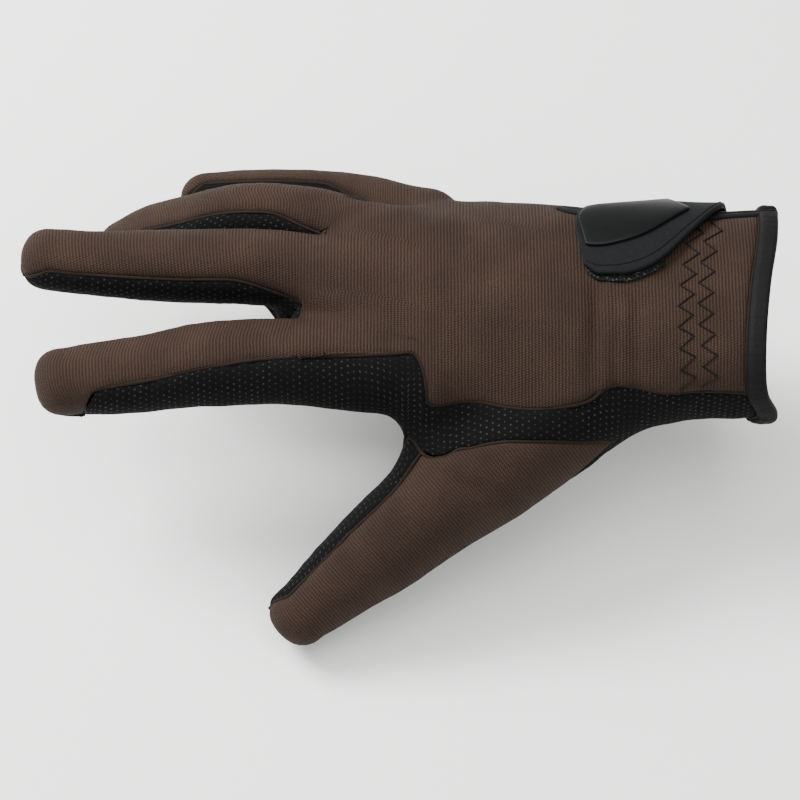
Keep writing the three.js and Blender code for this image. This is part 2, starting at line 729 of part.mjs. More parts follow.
function wrapLine(row) {
  const onFinger = digitRay(INDEX, indexSeamTable('along', row), indexSeamTable('angle', row));
  if (row >= 0.84) return onFinger;
  const x = row === 0 ? panelEdge(WRAP_SEAM[0].angle) : -wrapTable('at', row) * PALM_LENGTH;
  return aimBetween(handRay(x, wrapTable('angle', row)), onFinger, ease(0.76, 0.84, row));
}

function outerLine(row) {
  const start = panelEdge(OUTER_SEAM_ANGLE);
  const seams = FINGER_SEAMS[3];
  if (row <= 1) {
    const x = start + (fingerEndX[3] - start) * row;
    const finger = digitRay(LITTLE, Math.max(alongAt(LITTLE, x), 0), seams.backFar);
    return mixRays(handRay(x, OUTER_SEAM_ANGLE), finger, ease(0.5, 1, row));
  }
  const cap = Math.max(row - 2, 0);
  const angle = seams.backFar + (90 - seams.backFar) * cap;
  return digitRay(LITTLE, fingerAlong(3, row), angle, TIP_CORNER * cap);
}

const mouthTable = tableCurve(THUMB_MOUTH, 'row');

// Line above or below the thumb's mouth, which is one line before and after it
function mouthLine(edge) {
  return (row) => {
    const isOpen = row > MOUTH_REAR && row < MOUTH_FRONT;
    const underSeam = (indexSeamTable('angle', row) - 180) / 2;
    if (row > 1) return digitRay(INDEX, indexSeamTable('along', row), underSeam);
    const x = row === 0 ? panelEdge(-100) : -mouthTable('at', row) * PALM_LENGTH;
    const hand = handAt(x);
    const inset = mouthTable('inset', row);
    const angle = mouthTable(isOpen ? edge : 'lower', row) * DEGREE;
    const y = hand.y + inset * MOUTH_SIDE * HAND_BREADTH;
    const z = hand.z + inset * MOUTH_DROP * HAND_DEPTH;
    const ray = {
      o: new THREE.Vector3(x, y, z),
      d: new THREE.Vector3(mouthTable('lean', row), -Math.cos(angle), Math.sin(angle)),
    };
    return mixRays(ray, digitRay(INDEX, indexSeamTable('along', row), underSeam), ease(0.81, 0.92, row));
  };
}

// Seam across each fingertip, where the back and the palm meet between two corners
const tipSeams = FINGERS.map((digit, f) => {
  const over = f === 0 ? INDEX_TIP_OVER : TIP_OVER;
  const corner = f === 0 ? INDEX_CORNER : TIP_CORNER;
  const near = f === 0 ? wrapLine(3) : digitRay(digit, digit.end, -90, corner);
  const far = digitRay(digit, digit.end, 90, corner);
  return (share) => blendRays([near, digitRay(digit, digit.end, 0, over), far], parabolaShares(share));
});

// Rays of a strip that closes on its fingertip's seam: share tells which place of
// the seam each column runs to
function closing(f, rayAt, share) {
  return (row, across) => {
    const ray = rayAt(row, across);
    return row <= 2 ? ray : mixRays(ray, tipSeams[f](share(across)), ease(2, 3, row));
  };
}

// Grids of surface points between lines

const between = (a, b) => (row, across) => mixRays(a(row), b(row), across);

const throughMiddle = (a, middle, b) => (row, across) => (
  blendRays([a(row), middle(row), b(row)], parabolaShares(across))
);

// Strip of two halves that meet on a middle line
const overMiddle = (a, middle, b) => (row, across) => (
  across <= 0.5 ? mixRays(a(row), middle(row), 2 * across) : mixRays(middle(row), b(row), 2 * across - 1)
);

const evenSteps = (count) => Array.from({ length: count + 1 }, (_, i) => i / count);

function grid(rayAt, rows, columns, height = null) {
  return rows.map((row) => columns.map((across) => {
    const p = cast(rayAt(row, across));
    const n = normalAt(p);
    if (height !== null) p.addScaledVector(n, height(row, across));
    return { p, n };
  }));
}

// Grid from the cuff to a fingertip, with its first row on the cuff's edge
function panelGrid(rayAt, columns) {
  const trimmed = (row, across) => {
    const ray = rayAt(row, across);
    if (row === 0) {
      const hand = handAt(ray.o.x);
      ray.o.x = panelEdge(Math.atan2(ray.d.y / hand.a, ray.d.z / hand.b) / DEGREE);
    }
    return ray;
  };
  return grid(trimmed, allRows, columns);
}

// Closed wall under joined grids: the outer faces, the same faces one wall further
// in, and a rim round every free edge, which keeps half a seam from its neighbour
class Wall {
  constructor(thickness, edgeGap = SEAM_GAP / 2) {
    this.thickness = thickness;
    this.edgeGap = edgeGap;
    this.points = [];
    this.normals = [];
    this.index = new Map();
    this.faces = [];
  }

  vertex({ p, n }) {
    const key = [p.x, p.y, p.z].map((value) => Math.round(value * 200)).join();
    if (!this.index.has(key)) {
      this.index.set(key, this.points.length);
      this.points.push(p.clone());
      this.normals.push(n.clone());
    }
    return this.index.get(key);
  }

  add(cells) {
    const ids = cells.map((row) => row.map((cell) => this.vertex(cell)));
    const faces = [];
    let facing = 0;
    for (let i = 0; i + 1 < ids.length; i += 1) {
      for (let j = 0; j + 1 < ids[i].length; j += 1) {
        const quad = [ids[i][j], ids[i + 1][j], ids[i + 1][j + 1], ids[i][j + 1]];
        for (const face of [[quad[0], quad[1], quad[2]], [quad[0], quad[2], quad[3]]]) {
          if (new Set(face).size === 3) {
            faces.push(face);
            facing += this.faceNormal(face).dot(this.normals[face[0]]);
          }
        }
      }
    }
    for (const face of faces) this.faces.push(facing >= 0 ? face : [face[0], face[2], face[1]]);
    return this;
  }

  faceNormal([a, b, c]) {
    const ab = this.points[b].clone().sub(this.points[a]);
    const ac = this.points[c].clone().sub(this.points[a]);
    return ab.cross(ac);
  }

  freeEdges() {
    const seen = new Set();
    for (const face of this.faces) {
      for (let i = 0; i < 3; i += 1) seen.add(`${face[i]} ${face[(i + 1) % 3]}`);
    }
    const edges = [];
    for (const face of this.faces) {
      for (let i = 0; i < 3; i += 1) {
        const a = face[i];
        const b = face[(i + 1) % 3];
        if (!seen.has(`${b} ${a}`)) edges.push([a, b]);
      }
    }
    return edges;
  }

  geometry() {
    const edges = this.freeEdges();
    const pulls = new Map();
    for (const [a, b] of edges) {
      const run = this.points[b].clone().sub(this.points[a]);
      for (const id of [a, b]) {
        const inward = this.normals[id].clone().cross(run).normalize();
        pulls.set(id, [...(pulls.get(id) ?? []), inward]);
      }
    }
    const outer = this.points.map((p) => p.clone());
    for (const [id, [u, v]] of pulls) {
      const pull = u.clone().add(v).divideScalar(Math.max(1 + u.dot(v), 0.4));
      outer[id].addScaledVector(pull, this.edgeGap);
    }
    const inner = outer.map((p, i) => p.clone().addScaledVector(this.normals[i], -this.thickness));
    const count = outer.length;
    const triangles = [];
    for (const [a, b, c] of this.faces) {
      triangles.push(a, b, c, count + a, count + c, count + b);
    }
    for (const [a, b] of edges) {
      triangles.push(b, a, count + a, b, count + a, count + b);
    }
    return bodyGeometry([...outer, ...inner], triangles);
  }
}

function bodyGeometry(points, triangles) {
  const geometry = new THREE.BufferGeometry();
  const flat = points.flatMap((p) => [p.x, p.y, p.z]);
  geometry.setAttribute('position', new THREE.Float32BufferAttribute(flat, 3));
  geometry.setIndex(triangles);
  geometry.computeVertexNormals();
  return geometry;
}

// Rounded strip carried along surface points, closed at both ends
function stripGeometry(stations, width, thickness, sides) {
  const points = [];
  stations.forEach((station, i) => {
    const before = stations[Math.max(i - 1, 0)].p;
    const after = stations[Math.min(i + 1, stations.length - 1)].p;
    const run = after.clone().sub(before).normalize();
    const side = run.clone().cross(station.n).normalize();
    const up = side.clone().cross(run);
    for (let k = 0; k < sides; k += 1) {
      const turn = ((k + 0.5) / sides) * 2 * Math.PI;
      const soften = (value) => Math.sign(value) * Math.abs(value) ** 0.7;
      const p = station.p.clone();
      p.addScaledVector(side, (soften(Math.cos(turn)) * width) / 2);
      points.push(p.addScaledVector(up, (soften(Math.sin(turn)) * thickness) / 2));
    }
  });
  const triangles = [];
  for (let i = 0; i + 1 < stations.length; i += 1) {
    for (let k = 0; k < sides; k += 1) {
      const a = i * sides + k;
      const b = i * sides + ((k + 1) % sides);
      triangles.push(a, b, b + sides, a, b + sides, a + sides);
    }
  }
  const last = (stations.length - 1) * sides;
  for (let k = 1; k + 1 < sides; k += 1) {
    triangles.push(0, k + 1, k, last, last + k, last + k + 1);
  }
  return outward(bodyGeometry(points, triangles));
}

// The same body with its faces turned out
function outward(geometry) {
  const p = geometry.getAttribute('position');
  const index = geometry.getIndex();
  const at = (i) => new THREE.Vector3().fromBufferAttribute(p, index.getX(i));
  let volume = 0;
  for (let i = 0; i < index.count; i += 3) volume += at(i).dot(at(i + 1).cross(at(i + 2)));
  if (volume < 0) {
    for (let i = 0; i < index.count; i += 3) {
      const b = index.getX(i + 1);
      index.setX(i + 1, index.getX(i + 2));
      index.setX(i + 2, b);
    }
  }
  return geometry;
}

// Lines of the glove

const backWebs = WEBS.map((_, i) => webLine(i, BACK_WEBS[i], WEB_LOOK));
const palmWebs = WEBS.map((_, i) => webLine(i, PALM_WEBS[i], -WEB_LOOK));
const backCentres = FINGERS.map((_, f) => centreLine(f, f === 3 ? null : BACK_CENTRES[f], false));
const palmCentres = FINGERS.map((_, f) => centreLine(f, PALM_CENTRES[f], true));
const backNear = FINGERS.map((_, f) => (f === 0 ? wrapLine
  : sideLine(f, f - 1, WEB_LOOK, FINGER_SEAMS[f].backNear, backWebs[f - 1])));
const backFar = FINGERS.map((_, f) => (f === 3 ? outerLine
  : sideLine(f, f, WEB_LOOK, FINGER_SEAMS[f].backFar, backWebs[f])));
const palmNear = FINGERS.map((_, f) => (f === 0 ? wrapLine
  : sideLine(f, f - 1, -WEB_LOOK, FINGER_SEAMS[f].palmNear, palmWebs[f - 1])));
const palmFar = FINGERS.map((_, f) => (f === 3 ? outerLine
  : sideLine(f, f, -WEB_LOOK, FINGER_SEAMS[f].palmFar, palmWebs[f])));

// The vent is a slit on the little finger's line: its end row, and the two lines
// beside it
const ventStart = panelEdge(VENT_LINE[0].angle);
const ventEndRow = (-VENT_LENGTH - ventStart) / (fingerEndX[3] - ventStart);
const ventFullRow = ventEndRow - 0.025;
const ventHalf = VENT_BINDING_WIDTH + 1.5 * SEAM_GAP;
const wristRadius = (WRIST_BREADTH + WRIST_DEPTH) / 4;
const degreesRound = (length) => length / wristRadius / DEGREE;

const ventX = (row) => ventStart + (fingerEndX[3] - ventStart) * row;

function ventSide(sign) {
  return (row) => {
    if (row >= ventEndRow) return backCentres[3](row);
    const x = ventX(row);
    const open = row <= ventFullRow ? 1 : (ventEndRow - row) / (ventEndRow - ventFullRow);
    return handRay(x, ventAngle(x) + sign * open * degreesRound(ventHalf - SEAM_GAP / 2));
  };
}

const ventRows = [ventFullRow, ventEndRow];
const clearRows = HAND_ROWS.filter((row) => ventRows.every((other) => Math.abs(row - other) > ROW_APART));
const handRows = [...clearRows, ...ventRows].sort((a, b) => a - b);
const allRows = [...handRows, ...FINGER_ROWS, ...CAP_ROWS];

function backPanel() {
  const wall = new Wall(KNIT_WALL);
  const same = (across) => across;
  for (const f of [0, 1, 2]) {
    const rays = closing(f, throughMiddle(backNear[f], backCentres[f], backFar[f]), same);
    wall.add(panelGrid(rays, f === 0 ? INDEX_COLUMNS : evenSteps(COLUMNS)));
  }
  const half = evenSteps(COLUMNS / 2);
  wall.add(panelGrid(closing(3, between(backNear[3], ventSide(-1)), (across) => across / 2), half));
  wall.add(panelGrid(closing(3, between(ventSide(1), backFar[3]), (across) => (1 + across) / 2), half));
  return wall.geometry();
}

function palmPanel() {
  const wall = new Wall(SUEDE_WALL);
  for (const f of [1, 2, 3]) {
    const rays = throughMiddle(palmFar[f], palmCentres[f], palmNear[f]);
    wall.add(panelGrid(closing(f, rays, (across) => 1 - across), evenSteps(COLUMNS)));
  }
  const half = evenSteps(2);
  const inner = between(palmFar[0], palmCentres[0]);
  const root = between(palmCentres[0], mouthLine('lower'));
  const band = between(mouthLine('upper'), wrapLine);
  wall.add(panelGrid(closing(0, inner, (across) => 1 - across / 2), half));
  wall.add(panelGrid(closing(0, root, (across) => 0.5 - across / 4), half));
  wall.add(panelGrid(closing(0, band, (across) => (1 - across) / 4), half));
  return wall.geometry();
}

// Strip between two fingers: down one, through the web and up the other
function fourchette(i) {
  const wall = new Wall(SUEDE_WALL);
  const rows = [1, ...FINGER_ROWS, ...CAP_ROWS.slice(0, -1)];
  const near = FINGER_SEAMS[i];
  const far = FINGER_SEAMS[i + 1];
  const up = flankLine(i, i, near.backFar, near.palmFar);
  const down = flankLine(i + 1, i, far.backNear, far.palmNear);
  const first = closing(i, overMiddle(backFar[i], up, palmFar[i]), () => 1);
  const second = closing(i + 1, overMiddle(backNear[i + 1], down, palmNear[i + 1]), () => 0);
  wall.add(grid(first, rows, evenSteps(SIDE_COLUMNS)));
  wall.add(grid(second, rows, evenSteps(SIDE_COLUMNS)));
  return wall.geometry();
}

// Thumb: from its mouth to its tip. A line starts at a place on the mouth's edge,
// and turns to an angle round the thumb.
const thumbTipSeam = (share) => blendRays([
  digitRay(THUMB, THUMB.end, THUMB_TIP.far, THUMB_TIP.corner),
  digitRay(THUMB, THUMB.end, 0, THUMB_TIP_OVER),
  digitRay(THUMB, THUMB.end, THUMB_TIP.near, THUMB_TIP.corner),
], parabolaShares(share));

const mouthRows = handRows.filter((row) => row >= MOUTH_REAR && row <= MOUTH_FRONT);

// Place along the thumb's axis that is nearest to a point
function thumbAlong(p) {
  const places = evenSteps(60).map((share) => share * THUMB.end);
  const distances = places.map((along) => THUMB.at(along).distanceTo(p));
  return places[distances.indexOf(Math.min(...distances))];
}

// One column of the thumb: from a row of its mouth, along an angle round the thumb,
// to a place on the seam across its tip
function thumbColumn(edge, mouthRow, angle, tipShare) {
  const mouth = cast(mouthLine(edge)(mouthRow));
  const first = thumbAlong(mouth);
  const own = mouth.clone().sub(THUMB.at(first)).normalize();
  return (row) => {
    const along = first + (THUMB.end - first) * Math.min(row, 1);
    const ahead = digitRay(THUMB, along, angle);
    const tube = mixRays({ o: ahead.o, d: own }, ahead, ease(0, THUMB_TURN, row));
    return row <= 1 ? tube : mixRays(tube, thumbTipSeam(tipShare), row - 1);
  };
}

function thumbWall(thickness, places, angles, tips) {
  const columns = places.map(([edge, mouthRow], k) => {
    const share = k / (places.length - 1);
    const angle = angles[0] + (angles[1] - angles[0]) * share;
    return thumbColumn(edge, mouthRow, angle, tips[0] + (tips[1] - tips[0]) * share);
  });
  const rows = [...THUMB_ROWS, ...THUMB_CAP_ROWS];
  const cells = grid((row, k) => columns[k](row), rows, columns.map((_, k) => k));
  return new Wall(thickness).add(cells).geometry();
}

function thumbBack() {
  const places = mouthRows.filter((row) => row <= MOUTH_CORNER).map((row) => ['upper', row]);
  return thumbWall(KNIT_WALL, places, [THUMB_FAR_SEAM, THUMB_NEAR_SEAM], [0, 1]);
}

function thumbPalm() {
  const front = mouthRows.filter((row) => row >= MOUTH_CORNER).map((row) => ['upper', row]);
  const under = [...mouthRows].reverse().slice(1).map((row) => ['lower', row]);
  return thumbWall(SUEDE_WALL, [...front, ...under], [THUMB_NEAR_SEAM, THUMB_FAR_SEAM + 360], [1, 0]);
}

// Trims that lie on the surface or beside its edges

function stationAt(x, angle, sink) {
  const p = cast(handRay(x, angle));
  const n = normalAt(p);
  return { p: p.addScaledVector(n, -sink), n };
}

function cuffBinding() {
  const open = degreesRound(ventHalf + SEAM_GAP);
  const from = VENT_LINE[0].angle + open;
  const turn = 360 - 2 * open;
  const stations = evenSteps(52).map((share) => {
    const angle = from + turn * share;
    return stationAt(cuffEdge(angle) - CUFF_BINDING_WIDTH / 2, angle, SUEDE_WALL / 2);
  });
  return stripGeometry(stations, CUFF_BINDING_WIDTH, CUFF_BINDING_THICKNESS, 8);
}

// Two legs beside the slit, joined round its end
function ventBinding() {
  const offset = degreesRound((VENT_BINDING_WIDTH + SEAM_GAP) / 2);
  const panelRows = handRows.filter((row) => row <= ventFullRow);
  const leg = [cuffEdge(VENT_LINE[0].angle), ...panelRows.map(ventX)];
  const last = leg[leg.length - 1];
  const stations = [
    ...leg.map((x) => stationAt(x, ventAngle(x) - offset, KNIT_WALL / 2)),
    stationAt(last - VENT_BINDING_WIDTH * 0.3, ventAngle(last), KNIT_WALL / 2),
    ...leg.reverse().map((x) => stationAt(x, ventAngle(x) + offset, KNIT_WALL / 2)),
  ];
  return stripGeometry(stations, VENT_BINDING_WIDTH, VENT_BINDING_THICKNESS, 6);
}

const placedTabRows = TAB_ROWS.map((row, i) => ({ ...row, place: i / (TAB_ROWS.length - 1) }));
const tabTable = tableCurve(placedTabRows, 'place');

// Ray under the tab: place runs from its sewn end to its free end, across from its
// upper edge to its lower one
function tabRay(place, across) {
  const mix = (a, b) => a + (b - a) * across;
  const along = mix(tabTable('upperAlong', place), tabTable('lowerAlong', place));
  const reach = mix(tabTable('upper', place), tabTable('lower', place));
  return handRay(-TAB_START - along * TAB_LENGTH, degreesRound(reach * TAB_REACH));
}

function tabSheet(places, acrosses, bottom, thickness) {
  const height = (place) => bottom(place) + thickness;
  return new Wall(thickness, 0).add(grid(tabRay, places, acrosses, height)).geometry();
}

const spanSteps = (from, to, count) => evenSteps(count).map((share) => from + (to - from) * share);
const tabBottom = (place) => tabTable('lift', place);

function closureTab() {
  return tabSheet(spanSteps(0, 1, 16), evenSteps(8), tabBottom, TAB_THICKNESS);
}

function tabBadge() {
  const places = spanSteps(BADGE_SPAN.from, BADGE_SPAN.to, 8);
  const acrosses = spanSteps(BADGE_SPAN.upper, BADGE_SPAN.lower, 5);
  return tabSheet(places, acrosses, (place) => tabBottom(place) + TAB_THICKNESS + SEAM_GAP, BADGE_THICKNESS);
}

function loopPatch() {
  const places = spanSteps(LOOP_SPAN.from, LOOP_SPAN.to, 6);
  const acrosses = spanSteps(LOOP_SPAN.upper, LOOP_SPAN.lower, 4);
  return tabSheet(places, acrosses, () => LOOP_LIFT, LOOP_THICKNESS);
}

const FINISHES = {
  knit: { color: 0x43322a, roughness: 0.95, metalness: 0 },
  suede: { color: 0x17171a, roughness: 0.9, metalness: 0 },
  tape: { color: 0x121215, roughness: 0.85, metalness: 0 },
  rubber: { color: 0x1b1c1f, roughness: 0.45, metalness: 0 },
};

function piece(name, geometry, finish) {
  const mesh = new THREE.Mesh(geometry, new THREE.MeshStandardMaterial(FINISHES[finish]));
  mesh.name = name;
  return mesh;
}

const glove = new THREE.Group();
glove.add(
  piece('back_panel', backPanel(), 'knit'),
  piece('palm_panel', palmPanel(), 'suede'),
  piece('fourchette_index_middle', fourchette(0), 'suede'),
  piece('fourchette_middle_ring', fourchette(1), 'suede'),
  piece('fourchette_ring_little', fourchette(2), 'suede'),
  piece('thumb_back', thumbBack(), 'knit'),
  piece('thumb_palm', thumbPalm(), 'suede'),
  piece('cuff_binding', cuffBinding(), 'tape'),
  piece('vent_binding', ventBinding(), 'tape'),
  piece('closure_tab', closureTab(), 'tape'),
  piece('tab_badge', tabBadge(), 'rubber'),
  piece('loop_patch', loopPatch(), 'tape'),
);

export default glove;
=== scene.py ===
import logging
import math
from dataclasses import dataclass, field
from enum import Enum
from typing import Callable

import bpy
import numpy as np
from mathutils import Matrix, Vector


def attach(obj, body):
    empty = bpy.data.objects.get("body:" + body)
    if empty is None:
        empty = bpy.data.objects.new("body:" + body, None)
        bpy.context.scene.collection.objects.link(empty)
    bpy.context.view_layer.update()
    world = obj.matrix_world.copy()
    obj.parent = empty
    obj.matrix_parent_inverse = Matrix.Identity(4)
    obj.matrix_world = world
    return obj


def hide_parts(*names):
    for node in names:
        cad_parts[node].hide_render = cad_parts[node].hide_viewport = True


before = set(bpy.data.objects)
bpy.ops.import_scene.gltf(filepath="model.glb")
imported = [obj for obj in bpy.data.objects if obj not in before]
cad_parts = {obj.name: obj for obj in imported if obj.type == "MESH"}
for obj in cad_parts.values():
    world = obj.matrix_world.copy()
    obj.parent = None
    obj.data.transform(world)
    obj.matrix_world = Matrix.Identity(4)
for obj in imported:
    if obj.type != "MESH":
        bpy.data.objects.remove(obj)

# A right-hand riding glove: every piece is a surface found by casting rays from
# inside the filled glove, in millimetres, and put into the scene in metres.

LOG = logging.getLogger("glove")
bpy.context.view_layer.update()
MM = 0.001
Array = np.ndarray

# Hand
PALM_LENGTH = 100.0
HAND_BREADTH = 78.0
HAND_DEPTH = 30.0
KNUCKLE_RISE = 5.0
KNUCKLE_ARCH = 10.5
WRIST_BREADTH = 66.0
WRIST_DEPTH = 41.0
CUFF_BREADTH = 67.0
CUFF_DEPTH = 44.0
CUFF_WAVE = 4.0
WEB_REACH = 39.0
WEB_DEPTH = 7.0
GATHER_DEPTH = 0.9
THUMB_WEB_WIDTH = 17.0

# Walls, seams and trims
KNIT_WALL = 1.2
SUEDE_WALL = 1.0
SEAM_GAP = 0.3
FINGER_GAP = 1.1
CUFF_BINDING_WIDTH = 5.5
CUFF_BINDING_THICKNESS = 3.2
VENT_LENGTH = 61.0
VENT_BINDING_WIDTH = 1.5
VENT_BINDING_THICKNESS = 2.0
TAB_LENGTH = 53.0
TAB_REACH = 44.0
TAB_START = 4.0
TAB_THICKNESS = 1.8
BADGE_THICKNESS = 1.0
LOOP_THICKNESS = 0.8
LOOP_LIFT = 0.4

# Knit, dots and stitches
RIB_PITCH = 0.97
STITCH_PITCH = 0.75
DOT_PITCH = 2.0
DOT_ROW_PITCH = 0.87 * DOT_PITCH
DOT_SIZE = 0.62
ZIGZAG_PITCH = 6.1
ZIGZAG_SWING = 2.2
THREAD = 0.5
SEAM_ROLL = 1.3
SEAM_CORD = 1.15
SEAM_SINK = 0.85
CUFF_CORD = 1.1
CUFF_CORD_SINK = 0.75
TAB_THREAD = 0.3
VENT_LAP = 0.7

# How strongly each cloth puckers, from 0 to 1, and the heights of its relief
KNIT_CREASE = 0.35
SUEDE_CREASE = 0.8
SIDE_CREASE = 0.5
ROLL_DEPTH = 0.5
PUCKER_HEIGHT = 0.22
CLEAR_OF_SEAMS = 1e3

# Fineness of the surfaces
HAND_STEP = 1.7
FINGER_STEP = 1.5
BACK_STRIPS = 12
AIMED_SHARE = 0.125
PALM_STRIPS = 12
SIDE_STRIPS = 8
AXIS_STEPS = 20
CAST_STEPS = 26
TIP_POWER = 2.6
SECTION_POWER = 2.3


class Table:
    """Named columns of values, read as smooth curves along the first column."""

    def __init__(self, names: str, rows: list[tuple]) -> None:
        self.columns = dict(zip(names.split(), np.array(rows, float).T))
        self.knots = self.columns[names.split()[0]]

    def __call__(self, name: str, at: Array) -> Array:
        """Reads a column.

        Args:
            name: The column.
            at: Places along the first column.

        Returns:
            A cubic through the values, its slope at each knot that of its neighbours.
        """
        knots, values = self.knots, self.columns[name]
        at = np.clip(at, knots[0], knots[-1])
        i = np.clip(np.searchsorted(knots, at) - 1, 0, len(knots) - 2)
        before = np.maximum(np.arange(len(knots)) - 1, 0)
        after = np.minimum(np.arange(len(knots)) + 1, len(knots) - 1)
        slope = (values[after] - values[before]) / (knots[after] - knots[before])
        step = knots[i + 1] - knots[i]
        u = (at - knots[i]) / step
        u2, u3 = u * u, u * u * u
        near = (2 * u3 - 3 * u2 + 1) * values[i] + (u3 - 2 * u2 + u) * step * slope[i]
        far = (3 * u2 - 2 * u3) * values[i + 1] + (u3 - u2) * step * slope[i + 1]
        return near + far


# Shares of the palm length, the hand breadth, the knuckle rise and the knuckle arch
HAND_SECTIONS = Table("at side rise breadth depth tilt arch", [
    (-0.06, -0.009, 0, CUFF_BREADTH, CUFF_DEPTH, 0, 0),
    (0.2, -0.012, 0, WRIST_BREADTH, 1.02 * WRIST_DEPTH, 0, 0),
    (0.32, -0.02, 0.05, 1.035 * WRIST_BREADTH, WRIST_DEPTH, 0, 0.05),
    (0.45, 0.004, 0.1, 1.01 * WRIST_BREADTH, 0.976 * WRIST_DEPTH, 0, 0.1),
    (0.6, 0.019, 0.3, 1.075 * WRIST_BREADTH, 0.907 * WRIST_DEPTH, 0.1, 0.3),
    (0.8, 0.036, 0.6, 0.987 * HAND_BREADTH, 1.13 * HAND_DEPTH, 0.2, 0.67),
    (1, 0.064, 1, HAND_BREADTH, HAND_DEPTH, 0.34, 1),
    (1.15, 0.103, 1.2, 1.038 * HAND_BREADTH, 0.9 * HAND_DEPTH, 0.36, 1.14),
    (1.35, 0.135, 1.3, 1.06 * HAND_BREADTH, 0.8 * HAND_DEPTH, 0.36, 1.14),
])
# Folds across the wrist: place and width in palm lengths, share of the gather depth,
# and degrees round
GATHERS = [
    (0.5, 0.022, 1.0, -75, -10),
    (0.445, 0.018, -0.6, -70, -14),
    (0.4, 0.02, 0.7, -70, -18),
]
THUMB_ROOT = (0.52, -0.282, -0.267)
THUMB_WEB = [(0.985, -0.35, -0.2), (0.97, -0.58, -0.67)]
WEB_SHARES = [1.0, 0.83, 0.27]
WEB_SLOPE = 0.62
WEB_LOOK = 48.0
WEB_ROWS = 1.3

# How the hand's front ends between the fingers, and how wide its parts are joined
WEB_STEEPNESS = 0.85
WEB_TURN_HEIGHT = 4.0
HAND_END_ROUNDING = 6.0
FINGER_GAP_ROUNDING = 1.0
FINGER_JOIN = 6.0
THUMB_WEB_JOIN = 8.0
THUMB_JOIN = 9.0
GATHER_FADE = 12.0

# Lines from the cuff to the knuckles, in degrees round the hand
LINE_PLACES = "at angle"
BACK_CENTRES = [(-57, -52, -45.6), (-19, -15, -9), (10, 12, 15.4)]
BACK_WEBS = [(-36, -32, -26), (-4, 0, 3.6), (22, 22, 30.8)]
PALM_CENTRES = [(230, 203, 204), (181, 177, 183), (155, 156, 163), (120, 125, 132)]
PALM_WEBS = [(197, 190, 194), (168, 167, 173), (140, 143, 149)]
WRIST_AT = 0.45
OUTER_SEAM_ANGLE = 98.0
VENT_LINE = Table("at angle", [
    (0, 49), (0.1, 48), (0.3, 45), (0.45, 43), (0.53, 46), (0.61, 51), (0.75, 54), (0.9, 52), (1, 47.5),
])
WRAP_SEAM = Table("row at angle", [
    (0, 0.07, -74), (0.14, 0.25, -70), (0.26, 0.41, -65), (0.31, 0.47, -64), (0.37, 0.54, -72),
    (0.5, 0.76, -70), (0.6, 0.93, -70), (0.66, 0.995, -67), (0.7, 1, -57), (0.74, 1.01, -48),
    (0.79, 1.045, -42), (1, 1.3, -38),
])
INDEX_SEAM = Table("row along angle", [
    (0.76, 0.02, 4), (0.81, 0.07, 1), (0.9, 0.19, -11), (1, 0.33, -20), (1.25, 0.455, -27),
    (1.6, 0.64, -37), (2, 0.81, -45), (2.4, 0.85, -52), (2.7, 0.872, -72), (3, 0.88, -105),
])
THUMB_MOUTH = Table("row at inset lean upper lower", [
    (0, 0.07, 0, 0, -10, -10), (0.14, 0.25, 0.35, 0, -10, -10), (0.27, 0.44, 0.8, 0, -12, -12),
    (0.33, 0.5, 1, 0, 3, -38), (0.42, 0.62, 1, 0, 12, -62), (0.52, 0.77, 1, 0, 12, -74),
    (0.62, 0.9, 1, 0, 2, -72), (0.66, 0.94, 1, -0.03, -3, -68), (0.7, 0.985, 1, -0.12, -9, -60),
    (0.76, 0.993, 1, -0.28, -14, -52), (0.81, 1, 1, -0.32, -28, -28), (0.9, 1.1, 0.7, -0.2, -30, -30),
    (1, 1.3, 0.4, 0, -30, -30),
])
MOUTH_REAR, MOUTH_CORNER, MOUTH_FRONT = 0.27, 0.7, 0.81
MOUTH_SIDE, MOUTH_DROP = -0.28, -0.25
CUFF_OUTLINE = Table("angle reach", [
    (-180, -0.6), (-135, -0.3), (-104, 0.6), (-78, -0.2), (-58, -0.5), (-33, -0.45),
    (-5, 0), (26, 0.75), (60, 0.95), (110, 0.5), (180, -0.6),
])
# Seams of each finger in degrees from its back: back and palm, near and far
FINGER_SEAMS = [(-22, 66, -95, 118), (-60, 60, -120, 120), (-45, 57, -115, 138), (-35, 60, -128, 60)]
TIP_CORNER, TIP_OVER = 52.0, 100.0
INDEX_TIP_OVER, INDEX_CORNER, THUMB_TIP_OVER = 130.0, 35.0, 125.0
THUMB_TURN, THUMB_NEAR_SEAM, THUMB_FAR_SEAM = 0.4, 46.0, -106.0
# The thumb's tip seam, from far side to near: degrees round the thumb and lean
THUMB_TIP = [(-95.0, 40.0), (0.0, THUMB_TIP_OVER), (80.0, 40.0)]
TAB_ROWS = Table("place upperAlong lowerAlong upper lower lift", [
    (0, 0.32, 0.1, 1.12, 1.12, 0.35), (0.125, 0.33, 0.11, 0.86, 0.86, 0.5),
    (0.25, 0.36, 0.16, 0.7, 0.56, 0.9), (0.375, 0.45, 0.25, 0.6, 0.38, 1.6),
    (0.5, 0.61, 0.38, 0.54, 0.22, 1.6), (0.625, 0.78, 0.54, 0.49, 0.06, 1.6),
    (0.75, 0.9, 0.72, 0.45, -0.04, 1.6), (0.875, 0.965, 0.87, 0.37, -0.045, 1.6),
    (1, 0.985, 0.95, 0.26, 0.0, 1.6),
])
BADGE_SPAN = (0.4, 0.93, 0.08, 0.66)
LOOP_SPAN = (0.6, 0.97, 0.5, 1.05)

# The photograph's view: its up and the way to it, in the plane of Y and Z
VIEW_HEIGHT = 57.0
VIEW_UP = np.array([0, math.sin(math.radians(VIEW_HEIGHT)), math.cos(math.radians(VIEW_HEIGHT))])
VIEW_TOWARDS = np.array([0, -VIEW_UP[2], VIEW_UP[1]])

